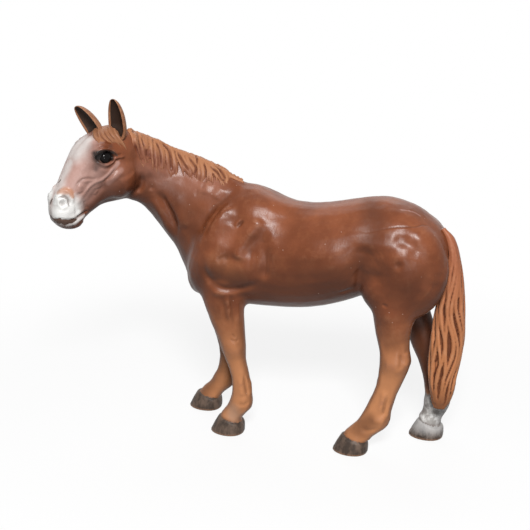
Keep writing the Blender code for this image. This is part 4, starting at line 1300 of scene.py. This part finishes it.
    def paint(self, sculptor: Sculptor, turn: NeckTurn) -> None:
        """Lay the paint that follows the form, with painted shade in the hollows, then the dabs, then
        painted shade under the body, on the legs' edges and over the far hind leg, and the sock.
        """
        clay = sculptor.clay
        for field in Field:
            clay.field(field)
        fine = clay.hollowness(4, sculptor.normals)
        broad = clay.hollowness(14, sculptor.normals)
        wash = clay.field(Field.WASH)
        # Dark paint and painted shade in fine creases and broad hollows.
        hollow = (smoothstep(0.012 * MM, 0.08 * MM, fine) * 0.3
                  + smoothstep(0.05 * MM, 0.3 * MM, broad) * 0.3)
        wash[:] = np.clip(np.maximum(wash, hollow), 0, 1)
        clay.fields[Field.RIDGE] = smoothstep(-0.02 * MM, -0.25 * MM, broad)
        height = clay.points[:, 2]
        clay.fields[Field.TAN] = smoothstep(self.tan_top, self.tan_bottom, height)
        for dab in PAINT:
            sculptor.dab(dab)
        # Painted shade on the underside, where the skin faces down, kept off the white and rose paint.
        under = smoothstep(0.4, -0.42, sculptor.normals[:, 2])
        under *= smoothstep(self.hind_cut - 6 * MM, self.hind_cut + 8 * MM, height)
        under *= (1 - clay.field(Field.WHITE)) * (1 - clay.field(Field.BLUSH))
        wash[:] = np.maximum(wash, under * self.underside_painted_shade)
        # Painted shade on faces that turn forwards and backwards, below the forelegs' top.
        edge = smoothstep(0.3, 0.95, abs(sculptor.normals[:, 0]))
        edge *= smoothstep(self.fore_cut + 8 * MM, self.fore_cut - 8 * MM, height)
        wash[:] = np.maximum(wash, edge * self.leg_edge_painted_shade)
        low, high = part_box("right_hindleg")
        foot_low, foot_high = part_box("right_hind_hoof")
        inside = ((clay.points[:, 0] > foot_low.x - 7 * MM) & (clay.points[:, 0] < foot_high.x + 4 * MM)
                  & (clay.points[:, 1] > turn.middle()) & (height < high.z))
        # Painted shade over the far hind leg above the sock; it also takes most of the tan away.
        shaded = inside * smoothstep(self.sock_top - MM, self.sock_top + 4 * MM, height)
        clay.fields[Field.TAN] *= 1 - 0.8 * shaded
        wash[:] = np.maximum(wash, shaded * self.far_leg_painted_shade)
        sock = smoothstep(self.sock_top + 2.5 * MM, self.sock_top - 2.5 * MM, height)
        clay.fields[Field.SOCK] = sock * inside

    def regions(self, clay: Clay, centres: np.ndarray, turn: NeckTurn) -> np.ndarray:
        """Say which node each face belongs to, by the number of the node in the list."""
        names = SKIN_NODES + HOOF_NODES
        straight = turn.straighten(centres)
        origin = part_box("left_fore_hoof")[0].x + Sight().behind_hoof
        region = np.full(len(centres), names.index("trunk"))
        for node, (high, low) in (("neck", self.neck_line), ("head", self.head_line)):
            top = np.array((origin + high[0] * MM, high[1] * MM))
            way = np.array((low[0] - high[0], low[1] - high[1])) * MM
            offset = straight[:, (0, 2)] - top
            ahead = offset[:, 0] * way[1] - offset[:, 1] * way[0] > 0
            region[ahead & (straight[:, 0] < turn.start() + 14 * MM)] = names.index(node)
        flank = origin + self.flank_behind
        for k, (leg, hoof) in enumerate(zip(SKIN_NODES[3:], HOOF_NODES)):
            fore = k < 2
            left = k % 2 == 0
            cut = self.fore_cut if fore else self.hind_cut
            here = ((centres[:, 2] < cut) & ((straight[:, 1] < 0) == left)
                    & ((centres[:, 0] < flank) == fore))
            region[here] = names.index(leg)
            spot, normal = self.coronet(hoof)
            below = (centres - np.array(spot)) @ np.array(normal) < 0
            region[here & below] = names.index(hoof)
        return region

    def part(self, sculptor: Sculptor, turn: NeckTurn, materials: dict[str, bpy.types.Material]) -> None:
        """Part the skin into one piece for each node, without a visible seam."""
        clay = sculptor.clay
        faces = [tuple(face.vertices) for face in clay.mesh.polygons]
        centres = np.array([clay.points[list(face)].mean(axis=0) for face in faces])
        region = self.regions(clay, centres, turn)
        for number, node in enumerate(SKIN_NODES + HOOF_NODES):
            own = [faces[k] for k in np.nonzero(region == number)[0]]
            used = np.unique(np.concatenate([np.array(face) for face in own]))
            renumbered = np.full(len(clay.points), -1)
            renumbered[used] = np.arange(len(used))
            mesh = bpy.data.meshes.new(f"{node}_skin")
            mesh.from_pydata(clay.points[used].tolist(), [],
                             [tuple(int(renumbered[k]) for k in face) for face in own])
            mesh.update()
            mesh.shade_smooth()
            mesh.normals_split_custom_set_from_vertices(sculptor.normals[used].tolist())
            store_fields(mesh, {name: values[used] for name, values in clay.fields.items()})
            hand_over(link(mesh, f"{node}_skin"), node, materials[node])

    def build(self, sight: Sight, turn: NeckTurn) -> Sculptor:
        """Build the skin's pieces and return the sculptor, for the hair to be fitted on."""
        sculptor = self.sculpt(self.refine(self.skin(), turn), sight, turn)
        self.cut_coronets(sculptor)
        self.paint(sculptor, turn)
        coat = CoatPaint().make()
        horn = HornPaint().make("hoof_horn", 0)
        chalky = HornPaint().make("hoof_horn_chalky", 0.65)
        materials = {node: coat for node in SKIN_NODES}
        materials.update({node: horn for node in HOOF_NODES})
        materials["right_hind_hoof"] = chalky
        self.part(sculptor, turn, materials)
        return sculptor


def join_loops(bm: bmesh.types.BMesh, loops: list[list[bmesh.types.BMVert]]) -> None:
    """Join rings of corners, each to the next, into a closed shape."""
    for first, second in zip(loops, loops[1:]):
        count = len(first)
        for k in range(count):
            bm.faces.new((first[k], first[(k + 1) % count], second[(k + 1) % count], second[k]))
    bm.faces.new(loops[0][::-1])
    bm.faces.new(loops[-1])


def add_tube(bm: bmesh.types.BMesh, line: np.ndarray, radii: np.ndarray) -> None:
    """Add a closed round tube along a line, with a radius at each point."""
    ways = unit(np.gradient(line, axis=0))
    side = Vector(ways[0]).orthogonal().normalized()
    loops = []
    for point, way, radius in zip(line, map(Vector, ways), radii):
        side = (side - way * side.dot(way)).normalized()
        across = way.cross(side)
        loops.append([bm.verts.new(Vector(point) + (side * cos(turn) + across * sin(turn)) * float(radius))
                      for turn in np.linspace(0, tau, 8, endpoint=False)])
    join_loops(bm, loops)


MANE_LOCKS = (
    ((130, 127.5), (132, 136), (134.5, 146), (138, 156), (143, 167)),
    ((134, 129), (136.5, 137), (139, 147), (142, 157), (146, 168)),
    ((139, 130.5), (141, 138), (143, 147), (145.5, 156), (149, 166)),
    ((145, 132.5), (146.5, 140), (148, 149), (149, 158), (151, 168)),
    ((150, 135.5), (152.5, 143), (154, 152), (155.5, 162), (156, 173)),
    ((155, 138), (158, 146), (160, 155), (161, 165), (161, 176)),
    ((160, 140), (164, 148), (167, 157), (168, 167), (166, 177)),
    ((165, 142.5), (169, 151), (171.5, 160), (172.5, 169), (173, 178)),
    ((170, 145), (173, 154), (175.5, 162), (177, 171), (176, 180)),
    ((175, 147), (179, 155.5), (183, 164), (187, 172), (190, 180)),
    ((181, 149), (186, 157.5), (190, 166), (194, 173), (196, 181)),
    ((187, 151.5), (191, 158.5), (194.5, 166), (196, 174), (194, 182)),
    ((193, 153.5), (197, 160), (199, 167.5), (200, 175), (198, 183)),
    ((198, 154), (202, 161.5), (204, 169), (204.5, 176.5), (203, 184)),
    ((203, 157.5), (207, 165), (210, 172), (211, 179), (211, 186)),
    ((209, 161), (214, 168), (218, 175), (221.5, 182), (224, 188)),
    ((215, 162.5), (219.5, 168.5), (223, 174.5), (226, 181), (228, 187)),
    ((220, 165.5), (223.5, 169.5), (226, 174), (228, 178), (229, 181)),
    ((225, 170), (226.5, 172), (228, 174), (229.2, 176), (230.2, 178)),
)

MANE_GROOVES = (
    Stroke(((133, 140), (137, 150), (141, 160), (144, 164)), 0.55, -0.55, wash=0.9, twin=False),
    Stroke(((140.5, 136), (143, 142), (145, 148)), 0.35, -0.35, wash=0.7, twin=False),
    Stroke(((147, 148), (147.6, 153), (148, 158)), 0.6, -0.5, wash=0.8, twin=False),
    Stroke(((155.5, 141), (159.5, 148), (161, 157), (161, 168)), 0.4, -0.5, wash=0.9, twin=False),
    Stroke(((162, 142), (168, 148), (170.5, 156), (171, 165), (172, 173)), 0.5, -0.65, wash=0.95,
           taper=0.15, twin=False),
    Stroke(((176, 150), (181, 158), (185, 165), (191, 173)), 0.45, -0.55, wash=0.95, twin=False),
    Stroke(((188, 156), (193, 163), (196, 169), (192, 179)), 0.4, -0.45, wash=0.85, twin=False),
    Stroke(((195, 154), (197, 159), (197, 167)), 0.35, -0.35, wash=0.7, twin=False),
    Stroke(((209, 165), (216, 171), (221, 178), (224, 183)), 0.45, -0.5, wash=0.9, twin=False),
    Stroke(((213, 164), (220, 169.5), (224, 176), (226, 181)), 0.4, -0.45, wash=0.85, twin=False),
    Stroke(((212, 172), (214, 176), (216, 180)), 0.35, -0.3, wash=0.6, twin=False),
    Stroke(((203, 162), (206, 170), (205, 178)), 0.3, -0.25, wash=0.5, twin=False),
)

FORELOCK_LOCKS = (
    ((97, 125.5), (94.2, 130), (93.8, 135.5), (96.5, 141), (101, 145.2)),
    ((100, 125), (97, 130), (97.5, 135.5), (100.5, 140), (104, 143.5)),
    ((103, 125), (100.5, 130), (102, 135.5), (106, 140), (110, 143.5)),
    ((106, 125.5), (104.5, 130.5), (107, 136), (112, 141), (117, 146)),
    ((109, 127), (108.5, 131.5), (112, 137), (117, 142), (122, 148.5)),
    ((112, 129), (113, 133), (117, 138), (122, 144), (127, 152.5)),
    ((116, 132), (118, 136), (121, 140), (125, 145.5), (128, 152)),
)

FORELOCK_GROOVES = (
    Stroke(((96.5, 129), (97, 134), (99, 138)), 0.3, -0.25, wash=0.6, twin=False),
    Stroke(((98.5, 129), (100.5, 134), (103.5, 138.5), (107, 141.5)), 0.3, -0.22, wash=0.6, twin=False),
    Stroke(((103, 129), (105.5, 134), (109.5, 139), (114, 143)), 0.3, -0.2, wash=0.55, twin=False),
    Stroke(((108, 131), (112, 136), (117, 141)), 0.25, -0.2, wash=0.5, twin=False),
    Stroke(((113, 141), (118, 145.5), (121, 149)), 0.3, -0.2, wash=0.5, twin=False),
    Stroke(((118, 142), (123, 147), (127, 153)), 0.3, -0.25, wash=0.5, twin=False),
    Stroke(((96, 140), (97.5, 142.2), (99, 144.5)), 0.3, -0.2, wash=0.5, twin=False),
)


@dataclass(frozen=True)
class Hair:
    """Moulded hair: strands melted together, with dark paint and painted shade in the grooves between them.
    """
    voxel: float = 0.22 * MM
    smoothing: int = 2
    groove: float = 0.07 * MM
    wash_and_shade_share: float = 0.45

    def clay(self, bm: bmesh.types.BMesh) -> Clay:
        """Melt the strands into one piece."""
        bmesh.ops.recalc_face_normals(bm, faces=bm.faces)
        clay = Clay(melt(bm, self.voxel))
        clay.relax(self.smoothing)
        clay.normals()
        return clay

    def carve(self, clay: Clay, tracer: Tracer, grooves: tuple[Stroke, ...]) -> None:
        """Draw the grooves between the locks on the melted piece."""
        sculptor = Sculptor(clay, Tracer(clay, tracer.sight, tracer.turn))
        for groove in grooves:
            sculptor.stroke(groove)
        sculptor.settle()

    def finish(self, clay: Clay, node: str, material: bpy.types.Material) -> None:
        """Find the grooves and ridges, and hand the piece over."""
        normals = clay.normals()
        depth = clay.hollowness(5, normals)
        broad = clay.hollowness(16, normals)
        # Dark groove paint and painted shade between the strands and in broad hollows.
        hollow = (smoothstep(0.0, self.groove, depth) * self.wash_and_shade_share
                  + smoothstep(0.02 * MM, 0.22 * MM, broad) * self.wash_and_shade_share)
        clay.fields[Field.WASH] = np.maximum(clay.field(Field.WASH), hollow)
        clay.fields[Field.RIDGE] = smoothstep(-0.01 * MM, -0.09 * MM, depth)
        clay.field(Field.FADE)
        clay.mesh.shade_smooth()
        store_fields(clay.mesh, clay.fields)
        hand_over(link(clay.mesh, f"{node}_strands"), node, material)


@dataclass(frozen=True)
class Locks(Hair):
    """Hair that lies on the skin along lines read from the photograph."""
    between: int = 3
    under_radius: float = 0.9 * MM
    under_lift: float = 0.2 * MM
    over_radius: float = 0.45 * MM
    root_lift: float = 0.8 * MM
    tip_lift: float = 0.25 * MM

    def lay(self, bm: bmesh.types.BMesh, tracer: Tracer, locks: tuple[tuple[Pixel, ...], ...]) -> None:
        """Lay a thick strand under each lock and finer ones over and between them."""
        rng = np.random.default_rng(7)
        for lock in locks:
            line, normals = tracer.settle(tracer.trace(lock, 3))
            line, normals = line[:-3], normals[:-3]
            share = np.linspace(0, 1, len(line))
            sink = self.under_lift * (1 - share) - self.under_radius * 0.7 * share
            add_tube(bm, line + normals * sink[:, None], self.under_radius * (1 - 0.3 * share ** 2))
        for first, second in zip(locks, locks[1:]):
            for step in range(self.between):
                place = (step + 0.5 + rng.uniform(-0.22, 0.22)) / self.between
                pixels = smooth_line(np.array(first) * (1 - place) + np.array(second) * place, 3)
                pixels = pixels[:round(len(pixels) * rng.uniform(0.78, 1))]
                line, normals = tracer.settle(tracer.trace(tuple(map(tuple, pixels)), 1))
                share = np.linspace(0, 1, len(line))
                lift = self.root_lift * (1 - share) + self.tip_lift * share
                lift = lift * (0.8 + 0.35 * sin(pi * place)) + rng.uniform(-0.12, 0.14) * MM
                lift = lift - self.over_radius * 1.1 * share ** 4
                radii = self.over_radius * rng.uniform(0.8, 1.2) * (1 - 0.5 * share ** 3)
                add_tube(bm, line + normals * lift[:, None], radii)


@dataclass(frozen=True)
class Mane(Locks):
    """Locks that fall from the crest over the left side of the neck."""
    poll: Pixel = (-46.5, 94.5)
    withers: Pixel = (-9.5, 78.0)
    short_strands: int = 30
    short_length: float = 3.2 * MM
    ridge: float = 1.35 * MM
    strand_radius: float = 0.62 * MM
    wash_and_shade_share: float = 0.6
    fade_start: float = 0.2 * MM
    fade_end: float = 4.4 * MM

    def read(self, tracer: Tracer, along: float, turn: float) -> tuple[np.ndarray, np.ndarray]:
        """A point of the straight neck's skin and its normal.

        Args:
            tracer: Where the skin is looked up.
            along: The share of the way from the poll to the withers.
            turn: The angle from the crest down the left side.

        Returns:
            The point and the normal, in the straight neck's places.
        """
        origin = tracer.sight.target().x
        spot = np.array(self.poll) * (1 - along) + np.array(self.withers) * along
        axis = Vector((origin + spot[0] * MM, 0, spot[1] * MM))
        way = Vector((self.withers[0] - self.poll[0], 0, self.withers[1] - self.poll[1])).normalized()
        up = Vector((-way.z, 0, way.x))
        out = up * cos(turn) - Vector((0, 1, 0)) * sin(turn)
        reach = 40 * MM
        hit, normal, _, _ = tracer.straight_tree.ray_cast(axis + out * reach, -out)
        if hit is None:
            hit, normal = axis + out * 9 * MM, out
        return np.array(hit), np.array(normal)

    def short_strand(self, tracer: Tracer, root: float, length: float) -> np.ndarray:
        """The middle line of a short strand on the far side of the crest."""
        spots = []
        turn, run = 0.0, 0.0
        while run < length:
            point, normal = self.read(tracer, root + 0.01 * run / length, -turn)
            lifted = point + normal * self.strand_radius * 0.35
            if spots:
                run += float(np.linalg.norm(lifted - spots[-1]))
            spots.append(lifted)
            turn += radians(7)
        return tracer.turn.bend(np.array(spots))

    def build(self, sculptor: Sculptor) -> None:
        """Lay the crest's ridge and the strands on both of its sides."""
        tracer = sculptor.tracer
        rng = np.random.default_rng(5)
        bm = bmesh.new()
        shares = np.linspace(0, 1, 26)
        crest = np.array([self.read(tracer, share, radians(4))[0] for share in shares])
        swell = 1 + 0.12 * np.sin(shares * 31) + 0.08 * np.sin(shares * 53 + 1)
        ends = smoothstep(0, 0.08, shares) * smoothstep(1.0, 0.72, shares)
        add_tube(bm, tracer.turn.bend(crest), self.ridge * (0.35 + 0.65 * ends) * swell)
        for k in range(self.short_strands):
            root = (k + 0.5) / self.short_strands * 0.985
            length = self.short_length * rng.uniform(0.7, 1.15) * (1 - 0.5 * max(root - 0.8, 0) / 0.2)
            line = self.short_strand(tracer, root, length)
            add_tube(bm, line, self.strand_radius * (1.2 - 0.6 * np.linspace(0, 1, len(line))))
        self.lay(bm, tracer, MANE_LOCKS)
        clay = self.clay(bm)
        self.carve(clay, tracer, MANE_GROOVES)
        straight = tracer.turn.straighten(clay.points)
        order = crest[:, 0].argsort()
        drop = np.interp(straight[:, 0], crest[order, 0], crest[order, 2]) - straight[:, 2]
        clay.fields[Field.FADE] = smoothstep(self.fade_start, self.fade_end, drop)
        self.finish(clay, "mane", HairPaint().make("mane_paint", 200 * MM, 150 * MM))


@dataclass(frozen=True)
class Forelock(Locks):
    """Locks from between the ears, swept over the left temple."""
    voxel: float = 0.18 * MM
    between: int = 5
    under_radius: float = 0.62 * MM
    under_lift: float = 0.1 * MM
    over_radius: float = 0.27 * MM
    root_lift: float = 0.5 * MM
    tip_lift: float = 0.15 * MM

    def build(self, sculptor: Sculptor) -> None:
        """Lay the locks and draw their grooves."""
        bm = bmesh.new()
        self.lay(bm, sculptor.tracer, FORELOCK_LOCKS)
        clay = self.clay(bm)
        self.carve(clay, sculptor.tracer, FORELOCK_GROOVES)
        paint = HairPaint(light=(0.30, 0.130, 0.066), worn=(0.42, 0.21, 0.12))
        self.finish(clay, "forelock", paint.make("forelock_paint", 200 * MM, 150 * MM))


@dataclass(frozen=True)
class Tail(Hair):
    """A hanging tail of wavy strands round a core."""
    voxel: float = 0.26 * MM
    wash_and_shade_share: float = 0.75
    levels: int = 26
    strands: int = 22
    strand_radius: float = 0.85 * MM
    core_share: float = 0.74
    core_sides: int = 24
    sway: float = 0.20
    stray: float = 0.15
    top_height: float = 78 * MM
    red_bottom: float = 30 * MM
    tip_top: float = 26 * MM
    tip_darkening: float = 0.55

    def outline(self) -> np.ndarray:
        """The tail's shape in slices: rows of X, Y, Z, half depth and half width."""
        points = node_points("tail")
        heights = np.linspace(points[:, 2].max() - MM, points[:, 2].min() + 0.8 * MM, self.levels)
        rows = []
        for height in heights:
            near = points[abs(points[:, 2] - height) < 2.4 * MM]
            low, high = near.min(axis=0), near.max(axis=0)
            middle, half = (low + high) / 2, (high - low) / 2
            rows.append((middle[0], middle[1], height, half[0], half[1]))
        rows = np.array(rows)
        for _ in range(2):
            rows[1:-1] = (rows[:-2] + 2 * rows[1:-1] + rows[2:]) / 4
        rows[:3, 3:] *= np.array((0.3, 0.7, 0.92))[:, None]
        rows[-3:, 3:] *= np.array((0.98, 0.92, 0.7))[:, None]
        rows[0, 0] -= 0.8 * MM
        return rows

    def build(self) -> None:
        """Lay the core and its strands."""
        rows = smooth_line(self.outline(), 3)
        share = np.linspace(0, 1, len(rows))
        bm = bmesh.new()
        loops = []
        for x, y, z, depth, width in rows:
            loops.append([bm.verts.new((x + depth * self.core_share * cos(turn),
                                        y + width * self.core_share * sin(turn), z))
                          for turn in np.linspace(0, tau, self.core_sides, endpoint=False)])
        join_loops(bm, loops)
        rng = np.random.default_rng(11)
        for k in range(self.strands):
            start = tau * k / self.strands + rng.uniform(-0.06, 0.06)
            phase = rng.uniform(0, tau)
            last = len(rows) - int(rng.integers(0, 4))
            part = share[:last]
            turn = (start + self.sway * np.sin(tau * 1.7 * part + 0.6) + 0.2 * part
                    + self.stray * np.sin(tau * 2.3 * part + phase))
            thick = self.strand_radius * rng.uniform(0.7, 1.15)
            out_x = np.maximum(rows[:last, 3] - thick * 0.85, 0.1 * MM)
            out_y = np.maximum(rows[:last, 4] - thick * 0.85, 0.1 * MM)
            line = np.stack((rows[:last, 0] + out_x * np.cos(turn),
                             rows[:last, 1] + out_y * np.sin(turn), rows[:last, 2]), axis=1)
            radii = thick * (0.75 + 0.25 * smoothstep(0.1, 0.3, part)) * (1 - 0.6 * (part / part[-1]) ** 4)
            add_tube(bm, line, radii)
        clay = self.clay(bm)
        heights = clay.points[:, 2]
        # Darker towards the tail's tip.
        clay.fields[Field.WASH] = smoothstep(self.tip_top, heights.min(), heights) * self.tip_darkening
        paint = HairPaint(light=(0.50, 0.200, 0.086), red=(0.30, 0.095, 0.050), wash=(0.070, 0.019, 0.010),
                          worn=(0.60, 0.30, 0.165))
        self.finish(clay, "tail", paint.make("tail_paint", self.top_height, self.red_bottom))


@dataclass(frozen=True)
class Ear:
    """A cupped ear that stands on the head where its node stands."""
    side: Side
    half_width: float
    facing: float
    inner_share: float = 0.78
    root_sink: float = 1.6 * MM
    inward: float = 1.3 * MM
    forward: float = 1.0 * MM
    rings: int = 17
    points: int = 18

    def build(self, turn: NeckTurn, material: bpy.types.Material) -> None:
        """Loft the ear from its root to its tip."""
        node = f"{self.side.name.lower()}_ear"
        corners = node_points(node)
        tip = corners[corners[:, 2].argmax()]
        low = corners[corners[:, 2] < corners[:, 2].min() + 2.2 * MM]
        ahead = np.array((-cos(turn.angle), -sin(turn.angle), 0))
        left = np.array((sin(turn.angle), -cos(turn.angle), 0))
        root = low.mean(axis=0) + self.forward * ahead + self.inward * left * self.side.value
        axis = unit(tip - root)
        root = root - axis * self.root_sink
        length = np.linalg.norm(tip - root)
        front = ahead * cos(self.facing) - left * sin(self.facing) * self.side.value
        front = unit(front - axis * (front @ axis))
        across = np.cross(axis, front)
        bm = bmesh.new()
        loops, depths = [], []
        for share in np.linspace(0, 1, self.rings):
            width = self.half_width * float(np.interp(
                share, (0, 0.10, 0.25, 0.41, 0.57, 0.735, 0.88, 0.955, 1),
                (0.74, 0.91, 1.0, 0.98, 0.92, 0.79, 0.58, 0.40, 0.18)))
            bulge = width * 0.85
            cup = bulge * float(np.interp(share, (0, 0.12, 0.28, 0.9, 1), (-0.5, 0.1, 0.66, 0.66, 0.4)))
            lean = front * (0.7 * MM * share ** 2)
            centre = root + axis * length * share + lean
            loop = []
            for angle in np.linspace(-pi / 2, pi / 2, self.points):
                loop.append(centre + across * width * sin(angle) - front * bulge * cos(angle))
                depths.append(0.0)
            for angle in np.linspace(pi / 2, -pi / 2, self.points)[1:-1]:
                inner = width * self.inner_share
                loop.append(centre + across * inner * sin(angle) - front * cup * cos(angle))
                depths.append(float(smoothstep(0.1, 0.35, np.array(cos(angle)))
                                    * smoothstep(0.02, 0.16, np.array(share))
                                    * smoothstep(1.0, 0.93, np.array(share))))
            loops.append([bm.verts.new(point) for point in loop])
        join_loops(bm, loops)
        bmesh.ops.recalc_face_normals(bm, faces=bm.faces)
        mesh = bpy.data.meshes.new(node)
        bm.to_mesh(mesh)
        bm.free()
        store_fields(mesh, {Field.SOOT: np.array(depths)})
        obj = link(mesh, f"{node}_cup")
        smooth = obj.modifiers.new("round", "SUBSURF")
        smooth.levels = 2
        smooth.render_levels = 2
        mesh = evaluated(obj)
        mesh.shade_smooth()
        hand_over(link(mesh, f"{node}_cup"), node, material)


@dataclass(frozen=True)
class Eye:
    """A glossy eyeball in its socket."""
    side: Side
    middle: Pixel = (108.3, 158.3)
    radius: float = 2.3 * MM
    sink: float = 2.1 * MM

    def build(self, sculptor: Sculptor, material: bpy.types.Material) -> None:
        """Set the eyeball in the middle of its socket."""
        node = f"{self.side.name.lower()}_eye"
        spots = sculptor.tracer.trace((self.middle,))
        if self.side is Side.RIGHT:
            spots = sculptor.tracer.twin(spots)
        spots, normals = sculptor.tracer.settle(spots)
        centre = Vector(spots[0] - normals[0] * self.sink)
        bm = bmesh.new()
        bmesh.ops.create_icosphere(bm, subdivisions=4, radius=self.radius,
                                   matrix=Matrix.Translation(centre))
        mesh = bpy.data.meshes.new(node)
        bm.to_mesh(mesh)
        bm.free()
        mesh.shade_smooth()
        hand_over(link(mesh, f"{node}_ball"), node, material)


@dataclass(frozen=True)
class SoftBox:
    """A lamp that faces the figure; metres and watts."""
    name: str
    power: float
    width: float
    height: float
    azimuth: float
    elevation: float
    distance: float = 0.62

    def build(self, target: Vector) -> None:
        """Hang the lamp where it faces the target."""
        data = bpy.data.lights.new(self.name, "AREA")
        data.shape = "RECTANGLE"
        data.energy = self.power
        data.size = self.width
        data.size_y = self.height
        lamp = bpy.data.objects.new(self.name, data)
        bpy.context.scene.collection.objects.link(lamp)
        back = away(self.azimuth, self.elevation)
        lamp.location = target + back * self.distance
        lamp.rotation_euler = back.to_track_quat("Z", "Y").to_euler()


LAMPS = (
    SoftBox("key", 4.4, 0.16, 0.13, radians(17), radians(39)),
    SoftBox("low", 0.5, 0.09, 0.08, radians(22), radians(2)),
    SoftBox("back", 1.3, 0.60, 0.50, radians(195), radians(50)),
)


@dataclass(frozen=True)
class Studio:
    """A pale floor, soft lamps in front and behind, and a white backdrop."""
    floor_size: float = 1.6
    floor_shade: float = 0.93
    floor_bounce: float = 0.06
    near_glow: float = 0.84
    glow_start: float = 0.08
    glow_end: float = 0.20
    world_strength: float = 0.08

    def floor(self) -> None:
        """Add the floor, which keeps the figure's shadow and fades into the backdrop."""
        bm = bmesh.new()
        bmesh.ops.create_grid(bm, x_segments=1, y_segments=1, size=self.floor_size)
        mesh = bpy.data.meshes.new("floor")
        bm.to_mesh(mesh)
        bm.free()
        floor = link(mesh, "floor")
        finish = Finish("floor_paint")
        seen = finish.seen()
        shade = finish.mix(seen, (self.floor_bounce,) * 3, (self.floor_shade,) * 3)
        finish.surface(Base_Color=shade, Roughness=0.9, Specular_IOR_Level=0.0)
        reach = finish.node("ShaderNodeVectorMath", {"operation": "LENGTH"},
                            {0: finish.node("ShaderNodeTexCoord", output="Object")}, "Value")
        glow = seen * (self.near_glow + (1 - self.near_glow) * reach.ease(self.glow_start, self.glow_end))
        blend = finish.node("ShaderNodeMixShader", None, {
            0: glow, 1: Wire(finish, finish.shader.outputs[0]), 2: finish.node("ShaderNodeEmission")})
        finish.plug(finish.tree.nodes["Material Output"].inputs["Surface"], blend)
        mesh.materials.append(finish.material)

    def world(self) -> None:
        """Make the world white to the camera and in reflections, and soft to the figure."""
        world = bpy.data.worlds.new("studio")
        bpy.context.scene.world = world
        world.use_nodes = True
        shading = Shading(world.node_tree)
        backdrop = world.node_tree.nodes["Background"]
        shading.plug(backdrop.inputs["Color"], (1.0, 1.0, 1.0))
        shading.plug(backdrop.inputs["Strength"],
                     self.world_strength + (1 - self.world_strength) * shading.seen())

    def build(self, sight: Sight) -> None:
        """Set up everything round the figure."""
        self.world()
        self.floor()
        for lamp in LAMPS:
            lamp.build(sight.target())
        sight.make_camera()
        bpy.context.scene.view_settings.view_transform = "Standard"


def main() -> None:
    """Build the figure's pieces in order and set up the studio."""
    logging.basicConfig(level=logging.INFO, format="%(message)s")
    sight, turn = Sight(), NeckTurn()
    sculptor = Coat().build(sight, turn)
    Mane().build(sculptor)
    Forelock().build(sculptor)
    Tail().build()
    ear_paint, eye_gloss = EarPaint().make(), EyeGloss().make()
    Ear(Side.LEFT, half_width=3.7 * MM, facing=radians(12)).build(turn, ear_paint)
    Ear(Side.RIGHT, half_width=3.9 * MM, facing=radians(-4)).build(turn, ear_paint)
    for side in Side:
        Eye(side).build(sculptor, eye_gloss)
    Studio().build(sight)


if __name__ == "__main__":
    main()
